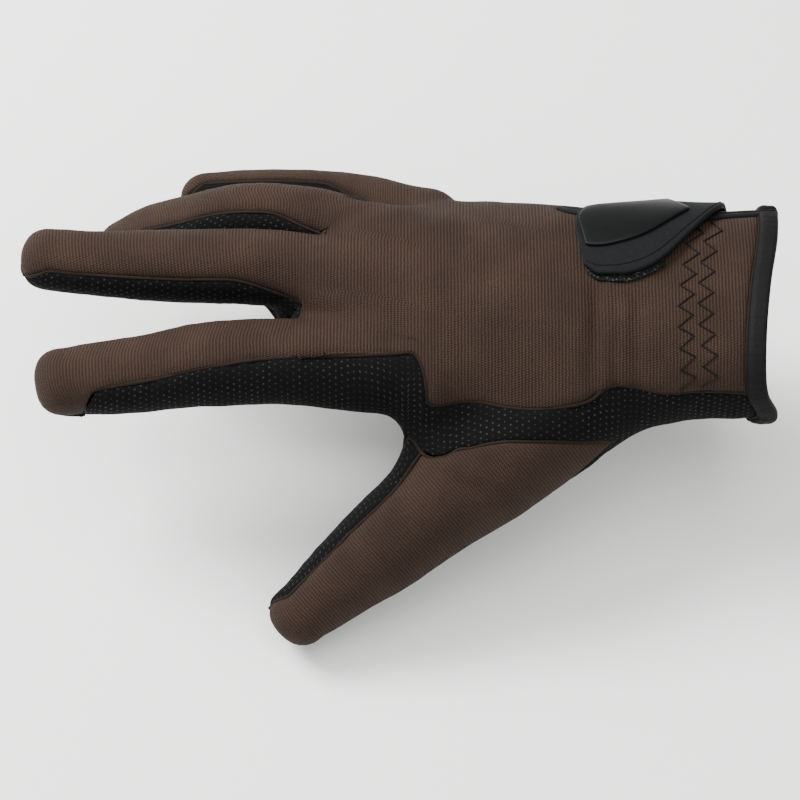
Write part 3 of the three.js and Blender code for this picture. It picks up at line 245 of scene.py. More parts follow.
# Folds seen on the cloth: both ends (X and the view's up), width and height
WRINKLES = [
    (-51.0, 7, -52.0, -24, 1.5, -0.6), (-47.8, 9, -48.8, -26, 1.3, 0.7), (-44.9, 7, -45.8, -23, 1.3, -0.5),
    (-41.6, 3, -42.4, -24, 1.4, 0.45), (-38.6, 5, -39.6, -24, 1.5, -0.3), (-56.0, 2, -57.0, -20, 2.0, 0.3),
    (-98, -42, -70, -53, 1.9, 0.5), (-99, -46, -68, -58, 1.7, -0.45), (-90, -52, -66, -64, 2.2, 0.35),
    (-60, -28, -47, -26, 1.8, -0.5), (-112, -8, -104, -20, 2.4, -0.3), (-150, 6, -118, 2, 2.6, 0.25),
]
WRINKLE_DEPTH = 1.35
# Middle of each zigzag row: the view's up, and X of the fore and the rear row
ZIGZAG_ROWS = Table("up fore rear", [
    (-26, -24.3, -18.2), (-14, -24.8, -18.4), (0, -25.2, -19.4), (17, -22.6, -17.6), (25, -20.2, -14.8),
    (29.5, -18.4, -12.4),
])


def ease(start: float, end: float, at: Array) -> Array:
    """Smooth step from 0 at start to 1 at end."""
    u = np.clip((at - start) / (end - start), 0, 1)
    return u * u * (3 - 2 * u)


def smooth_min(a: Array, b: Array, reach: float) -> Array:
    """The smaller of two distances, rounded where they are within reach."""
    h = np.maximum(reach - np.abs(a - b), 0) / reach
    return np.minimum(a, b) - h * h * reach / 4


def smooth_max(a: Array, b: Array, reach: float) -> Array:
    """The larger of two distances, rounded where they are within reach."""
    return -smooth_min(-a, -b, reach)


def unit(v: Array) -> Array:
    """Rows scaled to length one."""
    return v / np.maximum(np.linalg.norm(v, axis=-1, keepdims=True), 1e-9)


@dataclass
class Rays:
    """Places inside the glove and ways to look from them."""

    o: Array
    d: Array

    def mixed(self, other: "Rays", share: Array) -> "Rays":
        """Rays between these and others."""
        s = np.asarray(share)[..., None]
        return Rays(self.o * (1 - s) + other.o * s, unit(self.d) * (1 - s) + unit(other.d) * s)

    def where(self, chosen: Array, other: "Rays") -> "Rays":
        """These rays where chosen, and the others elsewhere."""
        c = np.asarray(chosen)[..., None]
        return Rays(np.where(c, self.o, other.o), np.where(c, self.d, other.d))


Line = Callable[[Array], Rays]


def blended(rays: list[Rays], u: Array) -> Rays:
    """Rays on the parabola through a first, a middle and a last one."""
    shares = [(1 - 2 * u) * (1 - u), 4 * u * (1 - u), u * (2 * u - 1)]
    o = sum(s[..., None] * r.o for s, r in zip(shares, rays))
    d = sum(s[..., None] * unit(r.d) for s, r in zip(shares, rays))
    return Rays(o, d)


class Digit:
    """A finger or the thumb: a chain of tapered rounds along a curved axis."""

    def __init__(self, length: float, width: float, roll: float, flat: float, start: tuple, spans: tuple,
                 rows: list[tuple]) -> None:
        self.roll, self.flat = roll, flat
        self.length = length
        values = np.array(rows, float)
        x = start[0] - values[:, 0] * length
        y = start[1] + values[:, 1] * spans[0]
        z = start[2] + values[:, 2] * spans[1]
        self.table = Table("along x y z r", list(zip(values[:, 0], x, y, z, values[:, 3] * width / 2)))
        self.end = values[-1, 0]
        self.is_thumb = start[1] != 0
        along = np.linspace(0, self.end, AXIS_STEPS + 1)
        self.steps = self.at(along)
        self.steps[:, 2] /= flat
        self.radii = self.table("r", along)

    def at(self, along: Array) -> Array:
        """Places on the axis."""
        return np.stack([self.table(k, np.asarray(along, float)) for k in "xyz"], axis=-1)

    def along(self, x: Array) -> Array:
        """Share of the length at a place along X."""
        return (-PALM_LENGTH - x) / self.length

    def distance(self, p: Array) -> Array:
        """Distance to the chain, less its radius, with a blunt end."""
        q = p / np.array([1, 1, self.flat])
        a, d = self.steps[:-1], np.diff(self.steps, axis=0)
        square = (d * d).sum(-1)
        rel = q[:, None, :] - a[None]
        run = (rel * d).sum(-1) / square
        h = np.clip(run, 0, 1)
        reach = np.linalg.norm(rel - h[..., None] * d, axis=-1)
        past = np.maximum(run[:, -1] - 1, 0) * math.sqrt(square[-1])
        across = np.linalg.norm(rel[:, -1] - run[:, -1, None] * d[-1], axis=-1)
        tip = (past ** TIP_POWER + across ** TIP_POWER) ** (1 / TIP_POWER)
        reach[:, -1] = np.where(run[:, -1] > 1, tip, reach[:, -1])
        return (reach - self.radii[:-1] - h * np.diff(self.radii)).min(1)

    def rays(self, along: Array, angle: Array, lean: Array = 0.0) -> Rays:
        """Rays from the axis, by angle round it from its back and lean to the tip."""
        along = np.asarray(along, float)
        step = 0.01
        ahead = self.at(np.minimum(along + step, self.end))
        tangent = unit(ahead - self.at(np.minimum(along, self.end - step)))
        facing = np.array([0, -0.55, 0.84]) if self.is_thumb else np.array([0, 0, 1.0])
        back = unit(facing - (tangent @ facing)[..., None] * tangent)
        side = np.cross(tangent, back)
        turn = np.radians(np.asarray(angle, float) + self.roll)[..., None]
        lean = np.radians(np.asarray(lean, float))[..., None]
        across = back * np.cos(turn) + side * np.sin(turn)
        return Rays(self.at(np.minimum(along, self.end)), across * np.cos(lean) + tangent * np.sin(lean))


KNUCKLES = (-PALM_LENGTH, 0, 0)
SPANS = (HAND_BREADTH, HAND_DEPTH)
INDEX = Digit(114, 26.4, -6, 0.94, KNUCKLES, SPANS, [
    (0, -0.302, 0.047, 1), (0.22, -0.283, 0.157, 0.992), (0.41, -0.269, 0.183, 0.977),
    (0.53, -0.273, 0.157, 0.97), (0.6, -0.277, 0.13, 0.947), (0.7, -0.29, 0.067, 0.886),
    (0.877, -0.299, -0.027, 0.818), (0.912, -0.304, -0.035, 0.788),
])
MIDDLE = Digit(119.5, 25.6, 3, 0.94, KNUCKLES, SPANS, [
    (0, -0.017, 0.13, 1), (0.21, 0.062, 0.303, 0.953), (0.393, 0.112, 0.347, 0.914),
    (0.628, 0.131, 0.3, 0.875), (0.837, 0.156, 0.263, 0.773), (0.92, 0.172, 0.25, 0.75),
])
RING = Digit(99, 24.6, 17, 0.95, KNUCKLES, SPANS, [
    (0, 0.2, 0.18, 1), (0.222, 0.314, 0.213, 0.894), (0.404, 0.388, 0.18, 0.837),
    (0.505, 0.404, 0.147, 0.829), (0.606, 0.422, 0.037, 0.821), (0.737, 0.44, -0.21, 0.813),
    (0.843, 0.463, -0.45, 0.797), (0.904, 0.465, -0.607, 0.756),
])
LITTLE = Digit(74, 22.8, 40, 0.96, KNUCKLES, SPANS, [
    (0, 0.442, -0.13, 1), (0.095, 0.481, -0.18, 0.965), (0.27, 0.558, -0.253, 0.895),
    (0.427, 0.59, -0.277, 0.86), (0.581, 0.605, -0.29, 0.833), (0.722, 0.62, -0.343, 0.807),
    (0.884, 0.64, -0.43, 0.763),
])
THUMB_LENGTH = 110.0
THUMB_START = (-THUMB_ROOT[0] * PALM_LENGTH, THUMB_ROOT[1] * HAND_BREADTH, THUMB_ROOT[2] * HAND_DEPTH)
THUMB = Digit(THUMB_LENGTH, 24, 0, 1, THUMB_START, (THUMB_LENGTH, THUMB_LENGTH), [
    (0, 0, 0, 1.517), (0.236, -0.164, -0.073, 1.467), (0.463, -0.3, -0.176, 1.24),
    (0.56, -0.364, -0.223, 1.17), (0.63, -0.408, -0.257, 1.02), (0.765, -0.495, -0.328, 0.79),
])
FINGERS = [INDEX, MIDDLE, RING, LITTLE]


class Form:
    """The filled glove as a distance that is below zero inside."""

    def __init__(self) -> None:
        self.webs = np.array([
            self.gap_at(i, -PALM_LENGTH - share * WEB_REACH) for i, share in enumerate(WEB_SHARES)
        ])
        self.web_ends = np.array([
            (-at * PALM_LENGTH, side * HAND_BREADTH, rise * HAND_DEPTH) for at, side, rise in THUMB_WEB
        ])

    @staticmethod
    def gap_at(i: int, x: float) -> Array:
        """Middle of the gap between fingers i and i + 1 at x."""
        near, far = FINGERS[i], FINGERS[i + 1]
        r, s = near.table("r", near.along(x)), far.table("r", far.along(x))
        share = r / (r + s)
        p = near.at(near.along(x)) * (1 - share) + far.at(far.along(x)) * share
        p[0] = x
        return p

    @staticmethod
    def section(x: Array) -> dict[str, Array]:
        """The hand's section at x: centre, half sizes, tilt and arch."""
        at = -x / PALM_LENGTH
        t = HAND_SECTIONS
        return {
            "y": t("side", at) * HAND_BREADTH, "z": t("rise", at) * KNUCKLE_RISE,
            "a": t("breadth", at) / 2, "b": t("depth", at) / 2,
            "tilt": -t("tilt", at) * KNUCKLE_ARCH, "arch": -t("arch", at) * KNUCKLE_ARCH,
        }

    def hand_end(self, y: Array) -> Array:
        """X of the hand's front end, a parabola through the three webs."""
        p, q, r = self.webs
        first = (q[0] - p[0]) / (q[1] - p[1])
        second = (r[0] - q[0]) / (r[1] - q[1])
        bend = (second - first) / (r[1] - p[1])
        at = np.clip(y, -0.38 * HAND_BREADTH, 0.66 * HAND_BREADTH)
        return p[0] + first * (at - p[1]) + bend * (at - p[1]) * (at - q[1])

    @staticmethod
    def gather_depth(x: Array, dy: Array, dz: Array) -> Array:
        """Depth of the folds across the wrist."""
        at = -x / PALM_LENGTH
        angle = np.degrees(np.arctan2(dy, dz))
        wave = 0.006 * np.sin(angle * 0.16)
        depth = np.zeros_like(x)
        for place, width, share, start, end in GATHERS:
            away = (at + wave - place) / width
            fade = ease(start - GATHER_FADE, start + GATHER_FADE, angle)
            fade *= 1 - ease(end - GATHER_FADE, end + GATHER_FADE, angle)
            depth += share * GATHER_DEPTH * np.exp(-away * away) * fade
        return depth

    def hand(self, p: Array) -> Array:
        """Distance to the palm, wrist and cuff."""
        x, y, z = p.T
        s = self.section(x)
        dy = y - s["y"]
        u = np.clip(dy / s["a"], -1.3, 1.3)
        dz = z - s["z"] - s["tilt"] * u - s["arch"] * u * u
        power = SECTION_POWER
        size = (np.abs(dy / s["a"]) ** power + np.abs(dz / s["b"]) ** power) ** (1 / power)
        tube = np.hypot(dy, dz) * (1 - 1 / (size + 1e-9)) + self.gather_depth(x, dy, dz)
        front = -(x - self.hand_end(y) - WEB_SLOPE * (z - WEB_TURN_HEIGHT)) * WEB_STEEPNESS
        return smooth_max(tube, front, HAND_END_ROUNDING)

    def thumb_web(self, p: Array) -> Array:
        """Distance to the fill between the thumb and the index finger."""
        a, b = self.web_ends
        h = np.clip((p - a) @ (b - a) / ((b - a) @ (b - a)), 0, 1)
        return np.linalg.norm(p - a - h[:, None] * (b - a), axis=1) - THUMB_WEB_WIDTH / 2

    def distance(self, p: Array) -> Array:
        """Distance to the whole glove, smooth where its parts join."""
        plain = [digit.distance(p) for digit in FINGERS]
        kept = list(plain)
        for i in range(len(self.webs)):
            middle = (plain[i] - plain[i + 1]) / 2
            kept[i] = smooth_max(kept[i], middle + FINGER_GAP / 2, FINGER_GAP_ROUNDING)
            kept[i + 1] = smooth_max(kept[i + 1], -middle + FINGER_GAP / 2, FINGER_GAP_ROUNDING)
        fingers = np.minimum.reduce(kept)
        hand = smooth_min(fingers, self.hand(p), FINGER_JOIN)
        hand = smooth_min(hand, self.thumb_web(p), THUMB_WEB_JOIN)
        return smooth_min(hand, THUMB.distance(p), THUMB_JOIN)

    def cast(self, rays: Rays) -> Array:
        """Surface points that rays reach from inside."""
        d = unit(rays.d)
        t = np.ones(len(d))
        for _ in range(CAST_STEPS):
            t = np.maximum(t - 0.9 * self.distance(rays.o + d * t[:, None]), 0.2)
        return rays.o + d * t[:, None]

    def normals(self, p: Array) -> Array:
        """Outward directions at surface points."""
        step = 0.05
        shifts = np.eye(3) * step
        return unit(np.stack([self.distance(p + s) - self.distance(p - s) for s in shifts], axis=-1))


FORM = Form()


def hand_rays(x: Array, angle: Array) -> Rays:
    """Rays from the middle of the hand, by degrees round it from its back."""
    s = FORM.section(x)
    sine, cosine = np.sin(np.radians(angle)), np.cos(np.radians(angle))
    o = np.stack([x, s["y"], s["z"]], axis=-1)
    rise = s["b"] * cosine + s["tilt"] * sine + s["arch"] * sine * sine
    return Rays(o, np.stack([np.zeros_like(rise), s["a"] * sine, rise], axis=-1))


def web_rays(i: int, look: float, x: Array) -> Rays:
    """Rays from inside web i, looking forward and up by look degrees."""
    x = np.asarray(x, float)
    _, y, z = FORM.webs[i]
    o = np.stack([x + WEB_DEPTH, np.full_like(x, y), np.full_like(x, z)], axis=-1)
    turn = math.radians(look)
    return Rays(o, np.broadcast_to([-math.cos(turn), 0, math.sin(turn)], o.shape))


def gap_rays(i: int, count: int) -> Rays:
    """Rays from a web's inside straight out into its gap."""
    o = web_rays(i, 0, np.array(FORM.webs[i, 0])).o
    ahead = FORM.gap_at(i, FORM.webs[i, 0] - 3 * WEB_DEPTH) - o
    return Rays(np.broadcast_to(o, (count, 3)), np.broadcast_to(ahead, (count, 3)))


def cuff_edge(angle: Array) -> Array:
    """X of the cuff's edge at degrees round the wrist."""
    return CUFF_WAVE * CUFF_OUTLINE("reach", (np.asarray(angle, float) + 180) % 360 - 180)


def panel_edge(angle: Array) -> Array:
    """X of the panels' edge, under the cuff binding."""
    return cuff_edge(angle) - CUFF_BINDING_WIDTH - SEAM_GAP / 2


WEB_X = FORM.webs[:, 0]
FINGER_END_X = [WEB_X[0], (WEB_X[0] + WEB_X[1]) / 2, (WEB_X[1] + WEB_X[2]) / 2, WEB_X[2]]


class Lines:
    """The glove's lines: rays by row, 0 to 1 from cuff to web, 2 and 3 to the tip."""

    @staticmethod
    def angled(angles: tuple) -> Callable[[Array], Array]:
        """Angle by x through values at the cuff, the wrist and the knuckles."""
        table = Table(LINE_PLACES, list(zip((0, WRIST_AT, 1), angles)))
        return lambda x: table("angle", -x / PALM_LENGTH)

    @staticmethod
    def vent_angle(x: Array) -> Array:
        """Degrees round the wrist of the vent, then of the little finger's back."""
        return VENT_LINE("angle", -x / PALM_LENGTH)

    @staticmethod
    def hand_line(angle_at: Callable, end_x: float, end: Callable, start_mix: float) -> Line:
        """Line from the cuff to a web or knuckle."""
        start = panel_edge(angle_at(np.zeros(1)))[0]

        def line(row: Array) -> Rays:
            x = start + (end_x - start) * np.minimum(row, 1)
            return hand_rays(x, angle_at(x)).mixed(end(x), ease(start_mix, 1, row))
        return line

    @staticmethod
    def finger_along(f: int, row: Array) -> Array:
        """Share of the finger's length at a row."""
        start = FINGERS[f].along(FINGER_END_X[f])
        return start + (FINGERS[f].end - start) * np.clip(row - 1, 0, 1)

    @classmethod
    def centre(cls, f: int, angles: tuple | None, is_palm: bool) -> Line:
        """Line down the middle of a finger, over its back or under it."""
        digit = FINGERS[f]
        angle = 180.0 if is_palm else 0.0
        over = INDEX_TIP_OVER if f == 0 else TIP_OVER
        tip = 180 - over if is_palm else over
        angle_at = cls.vent_angle if angles is None else cls.angled(angles)
        on_hand = cls.hand_line(angle_at, FINGER_END_X[f],
                                lambda x: digit.rays(np.maximum(digit.along(x), 0), angle), 0.5)

        def line(row: Array) -> Rays:
            beyond = digit.rays(cls.finger_along(f, row), angle, tip * np.maximum(row - 2, 0))
            return on_hand(row).where(row <= 1, beyond)
        return line

    @classmethod
    def web(cls, i: int, angles: tuple, look: float) -> Line:
        """Line from the cuff to a web."""
        return cls.hand_line(cls.angled(angles), FORM.webs[i, 0], lambda x: web_rays(i, look, x), 0.62)

    @classmethod
    def side(cls, f: int, web: int, look: float, angle: float, on_hand: Line) -> Line:
        """Line along a finger's side, from its web to its tip corner."""
        digit = FINGERS[f]
        corner = INDEX_CORNER if f == 0 else TIP_CORNER
        end = 90.0 if angle > 0 else -90.0
        crotch = FORM.cast(web_rays(web, look, np.array([FORM.webs[web, 0]])))[0]
        first = digit.along(crotch[0])
        own = unit(crotch - digit.at(first))

        def line(row: Array) -> Rays:
            cap = np.maximum(row - 2, 0)
            along = first + (digit.end - first) * np.clip(row - 1, 0, 1)
            ray = digit.rays(along, angle + (end - angle) * cap, corner * cap)
            beyond = Rays(ray.o, np.broadcast_to(own, ray.d.shape)).mixed(ray, ease(1, WEB_ROWS, row))
            return on_hand(row).where(row <= 1, beyond)
        return line

    @classmethod
    def flank(cls, f: int, web: int, start: float, finish: float) -> Line:
        """Line down the middle of a fourchette's side."""
        digit = FINGERS[f]
        angle = (start + finish) / 2
        end = 90.0 if angle > 0 else -90.0
        first = digit.along(FORM.cast(gap_rays(web, 1))[0, 0])

        def line(row: Array) -> Rays:
            cap = np.maximum(row - 2, 0)
            along = first + (digit.end - first) * np.clip(row - 1, 0, 1)
            ray = digit.rays(along, angle + (end - angle) * cap, TIP_CORNER * cap)
            return gap_rays(web, len(row)).mixed(ray, ease(1, WEB_ROWS, row))
        return line

    @staticmethod
    def wrap(row: Array) -> Rays:
        """Seam between the knit back and the side wrap."""
        finger = INDEX.rays(INDEX_SEAM("along", row), INDEX_SEAM("angle", row))
        first = panel_edge(WRAP_SEAM.columns["angle"][0])
        x = np.where(row == 0, first, -WRAP_SEAM("at", row) * PALM_LENGTH)
        hand = hand_rays(x, WRAP_SEAM("angle", row))
        share = ease(0.76, 0.84, row)
        o = hand.mixed(finger, share).o
        s = share[..., None]
        target = FORM.cast(hand) * (1 - s) + FORM.cast(finger) * s
        aimed = Rays(o, target - o).where(share > 0, hand)
        return finger.where(row >= 0.84, aimed)

    @classmethod
    def outer(cls, row: Array) -> Rays:
        """Seam along the little finger's side, from the cuff to its tip corner."""
        start = panel_edge(OUTER_SEAM_ANGLE)
        back_far = FINGER_SEAMS[3][1]
        x = start + (FINGER_END_X[3] - start) * np.minimum(row, 1)
        finger = LITTLE.rays(np.maximum(LITTLE.along(x), 0), back_far)
        hand = hand_rays(x, np.full_like(x, OUTER_SEAM_ANGLE)).mixed(finger, ease(0.5, 1, row))
        cap = np.maximum(row - 2, 0)
        beyond = LITTLE.rays(cls.finger_along(3, row), back_far + (90 - back_far) * cap, TIP_CORNER * cap)
        return hand.where(row <= 1, beyond)

    @staticmethod
    def mouth(edge: str) -> Line:
        """Line above or below the thumb's mouth, one line before and after it."""
        def line(row: Array) -> Rays:
            is_open = (row > MOUTH_REAR) & (row < MOUTH_FRONT)
            under = INDEX.rays(INDEX_SEAM("along", row), (INDEX_SEAM("angle", row) - 180) / 2)
            x = np.where(row == 0, panel_edge(-100), -THUMB_MOUTH("at", row) * PALM_LENGTH)
            s = FORM.section(x)
            inset = THUMB_MOUTH("inset", row)
            angle = np.radians(np.where(is_open, THUMB_MOUTH(edge, row), THUMB_MOUTH("lower", row)))
            y = s["y"] + inset * MOUTH_SIDE * HAND_BREADTH
            z = s["z"] + inset * MOUTH_DROP * HAND_DEPTH
            o = np.stack([x, y, z], -1)
            d = np.stack([THUMB_MOUTH("lean", row), -np.cos(angle), np.sin(angle)], -1)
            return under.where(row > 1, Rays(o, d).mixed(under, ease(0.81, 0.92, row)))
        return line


def tip_seam(f: int, share: Array) -> Rays:
    """Seam across a fingertip, where the back and the palm meet."""
    digit = FINGERS[f]
    corner = INDEX_CORNER if f == 0 else TIP_CORNER
    over = INDEX_TIP_OVER if f == 0 else TIP_OVER
    end = np.full_like(share, digit.end)
    near = Lines.wrap(np.full_like(share, 3.0)) if f == 0 else digit.rays(end, -90, corner)
    return blended([near, digit.rays(end, 0, over), digit.rays(end, 90, corner)], share)


def thumb_tip_seam(share: Array) -> Rays:
    """Seam across the thumb's tip."""
    end = np.full_like(share, THUMB.end)
    return blended([THUMB.rays(end, angle, lean) for angle, lean in THUMB_TIP], share)


def closing(f: int, rays_at: Callable, share: Callable) -> Callable:
    """Rays of a strip that closes on its fingertip's seam."""
    def rays(row: Array, across: Array) -> Rays:
        plain = rays_at(row, across)
        closed = plain.mixed(tip_seam(f, share(across)), ease(2, 3, row))
        return plain.where(row <= 2, closed)
    return rays


def between(a: Line, b: Line) -> Callable:
    """Strip between two lines."""
    return lambda row, across: a(row).mixed(b(row), across)


def aimed_start(rays_at: Callable, first: float) -> Callable:
    """The same strip, its first columns aimed at places spread evenly over the surface
    from column zero to the column at first."""
    def rays(row: Array, across: Array) -> Rays:
        plain = rays_at(row, across)
        near = (across > 0) & (across < first)
        if not near.any():
            return plain
        zero = rays_at(row[near], np.zeros(near.sum()))
        far = rays_at(row[near], np.full(near.sum(), first))
        share = (across[near] / first)[:, None]
        o = zero.o * (1 - share) + far.o * share
        target = FORM.cast(zero) * (1 - share) + FORM.cast(far) * share
        out = Rays(plain.o.copy(), plain.d.copy())
        out.o[near], out.d[near] = o, target - o
        return out
    return rays


def through(a: Line, middle: Line, b: Line) -> Callable:
    """Strip on the parabola through three lines."""
    return lambda row, across: blended([a(row), middle(row), b(row)], across)


def over_middle(a: Line, middle: Line, b: Line) -> Callable:
    """Strip of two halves that meet on a middle line."""
    def rays(row: Array, across: Array) -> Rays:
        m = middle(row)
        return a(row).mixed(m, 2 * across).where(across <= 0.5, m.mixed(b(row), 2 * across - 1))
    return rays


class Relief:
    """Small shape of the cloth on top of the filled form."""

    @staticmethod
    def wrinkles(p: Array, normals: Array) -> Array:
        """Height of the folds that the photograph shows, each a soft ridge or groove
        along a line across the view, on the side that faces it."""
        place = np.stack([p[:, 0], p @ VIEW_UP], -1)
        facing = ease(0.0, 0.35, normals @ VIEW_TOWARDS)
        height = np.zeros(len(p))
        for x0, w0, x1, w1, width, rise in WRINKLES:
            a, run = np.array([x0, w0]), np.array([x1 - x0, w1 - w0])
            share = (place - a) @ run / (run @ run)
            bend = 0.5 * width * np.sin(share * 7 + x0)
            away = ((place - a) @ np.array([run[1], -run[0]])) / np.linalg.norm(run) + bend
            fade = ease(-0.15, 0.2, share) * (1 - ease(0.8, 1.15, share))
            height += WRINKLE_DEPTH * rise * np.exp(-(away / width) ** 2) * fade
        return height * facing

    @classmethod
    def of(cls, p: Array, normals: Array, seam: Array, crease: float) -> Array:
        """Height of the cloth over the form.

        Args:
            p: Surface points.
            normals: Their outward directions.
            seam: Distance of each from its panel's nearest edge.
            crease: How strongly the cloth puckers, from 0 to 1.

        Returns:
            Heights: a roll down to the seam, puckers beside it and slack waves.
        """
        x, y, z = p.T
        roll = -ROLL_DEPTH * np.exp(-(seam / SEAM_ROLL) ** 2)
        run = x + 0.6 * y - 0.5 * z
        beside = np.exp(-np.maximum(seam - 1, 0) / 3.5)
        pucker = PUCKER_HEIGHT * np.sin(run * 1.55 + 2.1 * np.sin(run * 0.23)) * beside
        slack = 0.16 * np.sin(0.19 * x + 1.3 * np.sin(0.11 * y) + 0.13 * z)
        slack += 0.12 * np.sin(0.33 * y - 0.21 * x + 1.1 * np.sin(0.17 * z))
        slack += 0.07 * np.sin(0.62 * x + 0.4 * y + 1.7 * np.sin(0.29 * y + 0.2 * z))
        return roll + crease * pucker + (0.5 + 0.5 * crease) * slack + cls.wrinkles(p, normals)


def grid_quads(rows: int, columns: int) -> Array:
    """Corners of the faces of a grid of points."""
    ids = np.arange(rows * columns).reshape(rows, columns)
    return np.stack([ids[:-1, :-1], ids[1:, :-1], ids[1:, 1:], ids[:-1, 1:]], -1).reshape(-1, 4)


def face_crosses(points: Array, quads: Array) -> Array:
    """Cross products of the quads' diagonals, which lie along their normals."""
    return np.cross(points[quads[:, 2]] - points[quads[:, 0]], points[quads[:, 3]] - points[quads[:, 1]])


def linked(name: str, data: bpy.types.ID) -> bpy.types.Object:
    """A new object of some data, linked to the scene."""
    obj = bpy.data.objects.new(name, data)
    bpy.context.scene.collection.objects.link(obj)
    return obj


class Shell:
    """A panel of cloth: joined grids of surface points, given a wall by modifiers."""

    def __init__(self) -> None:
        self.points: list[Array] = []
        self.quads: list[Array] = []
        self.uvs: list[Array] = []
        self.count = 0

    def add(self, p: Array, uv: Array) -> None:
        """Adds a grid of points (rows, columns, 3) with places on the cloth in mm."""
        rows, columns = p.shape[:2]
        quads = grid_quads(rows, columns)
        self.points.append(p.reshape(-1, 3))
        self.quads.append(self.count + quads)
        self.uvs.append(uv.reshape(-1, 2)[quads])
        self.count += rows * columns

    def build(self, name: str, wall: float, crease: float) -> bpy.types.Object:
        """Joins the grids, turns them out, shapes the cloth and gives it a wall."""
        points = np.concatenate(self.points)
        quads = np.concatenate(self.quads)
        uvs = np.concatenate(self.uvs)
        places = np.round(points * 100).astype(np.int64)
        _, first, same = np.unique(places, axis=0, return_index=True, return_inverse=True)
        points, quads = points[first], same.reshape(-1)[quads]
        area = np.linalg.norm(face_crosses(points, quads), axis=1)
        whole = (np.diff(np.sort(quads, axis=1), axis=1) > 0).all(1) & (area > 1e-4)
        quads, uvs = quads[whole], uvs[whole]
        normals = FORM.normals(points)
        inward = np.einsum("ij,ij->i", face_crosses(points, quads), normals[quads[:, 0]]) < 0
        quads[inward] = quads[inward][:, ::-1]
        uvs[inward] = uvs[inward][:, ::-1]
        edges = np.concatenate([quads[:, [k, (k + 1) % 4]] for k in range(4)])
        key = np.sort(edges, axis=1)
        _, index, counts = np.unique(key, axis=0, return_index=True, return_counts=True)
        free = edges[index[counts == 1]]
        pull = np.zeros_like(points)
        run = points[free[:, 1]] - points[free[:, 0]]
        for k in range(2):
            np.add.at(pull, free[:, k], unit(np.cross(normals[free[:, k]], run)))
        rim = np.unique(free)
        points[rim] += unit(pull[rim]) * SEAM_GAP / 2
        seam = np.full(len(points), CLEAR_OF_SEAMS)
        for part in np.array_split(np.arange(len(points)), max(len(points) // 2000, 1)):
            away = np.linalg.norm(points[part, None] - points[None, rim], axis=-1)
            seam[part] = away.min(1)
        points = points + normals * Relief.of(points, normals, seam, crease)[:, None]
        obj = mesh_object(name, points, quads, uvs)
        attribute = obj.data.attributes.new("seam", "FLOAT", "POINT")
        attribute.data.foreach_set("value", seam.astype(np.float32))
        add_wall(obj, wall, 1)
        return obj


def mesh_object(name: str, points: Array, faces: Array, uvs: Array | None = None) -> bpy.types.Object:
    """A smooth mesh from points in mm, faces of equal size and places per corner."""
    mesh = bpy.data.meshes.new(name)
    size = faces.shape[1]
    mesh.vertices.add(len(points))
    mesh.vertices.foreach_set("co", (points * MM).astype(np.float32).ravel())
    mesh.loops.add(faces.size)
    mesh.loops.foreach_set("vertex_index", faces.astype(np.int32).ravel())
    mesh.polygons.add(len(faces))
    mesh.polygons.foreach_set("loop_start", np.arange(0, faces.size, size, dtype=np.int32))
    mesh.update(calc_edges=True)
    mesh.validate()
    mesh.polygons.foreach_set("use_smooth", np.ones(len(mesh.polygons), bool))
    if uvs is not None:
        layer = mesh.uv_layers.new(name="cloth")
        layer.data.foreach_set("uv", uvs.astype(np.float32).ravel())
    return linked(name, mesh)


def add_wall(obj: bpy.types.Object, wall: float, levels: int) -> None:
    """Gives a surface its thickness inwards and smooths it."""
    solid = obj.modifiers.new("wall", "SOLIDIFY")
    solid.thickness = wall * MM
    solid.offset = -1.0
    smooth = obj.modifiers.new("smooth", "SUBSURF")
    smooth.levels = levels
    smooth.render_levels = levels


def steps(start: float, end: float, step: float, length: float) -> Array:
    """Places from start to end, about one step of length apart."""
    return np.linspace(start, end, max(int(round(length / step)), 2) + 1)


def panel_rows() -> Array:
    """Rows of the back and palm panels, with the thumb's and the vent's places."""
    hand = steps(0, 1, HAND_STEP, 128)
    marks = np.array([MOUTH_REAR, MOUTH_CORNER, MOUTH_FRONT, VENT_FULL_ROW, VENT_END_ROW])
    nearest = np.abs(hand[:, None] - marks[None]).argmin(0)
    hand[nearest] = marks
    tip = np.linspace(2, 3, 13)[1:]
    return np.concatenate([np.sort(hand), steps(1, 2, FINGER_STEP, 74)[1:], tip])


VENT_START = panel_edge(VENT_LINE.columns["angle"][0])
VENT_END_ROW = (-VENT_LENGTH - VENT_START) / (FINGER_END_X[3] - VENT_START)
VENT_FULL_ROW = VENT_END_ROW - 0.025
VENT_HALF = VENT_BINDING_WIDTH + 1.5 * SEAM_GAP
WRIST_RADIUS = (WRIST_BREADTH + WRIST_DEPTH) / 4


def degrees_round(length: Array) -> Array:
    """Degrees round the wrist of a length."""
    return np.degrees(length / WRIST_RADIUS)


def cast_grid(rays_at: Callable, rows: Array, columns: Array, on_cuff: bool = False) -> Array:
    """Surface points (rows, columns, 3) of a strip, its first row on the cuff's edge."""
    row, across = (g.ravel() for g in np.meshgrid(rows, columns, indexing="ij"))
    rays = rays_at(row, across)
    if on_cuff:
        s = FORM.section(rays.o[:, 0])
        d = unit(rays.d)
        angle = np.degrees(np.arctan2(d[:, 1] / s["a"], d[:, 2] / s["b"]))
        rays.o = rays.o.copy()
        rays.o[:, 0] = np.where(row == 0, panel_edge(angle), rays.o[:, 0])
    return FORM.cast(rays).reshape(len(rows), len(columns), 3)


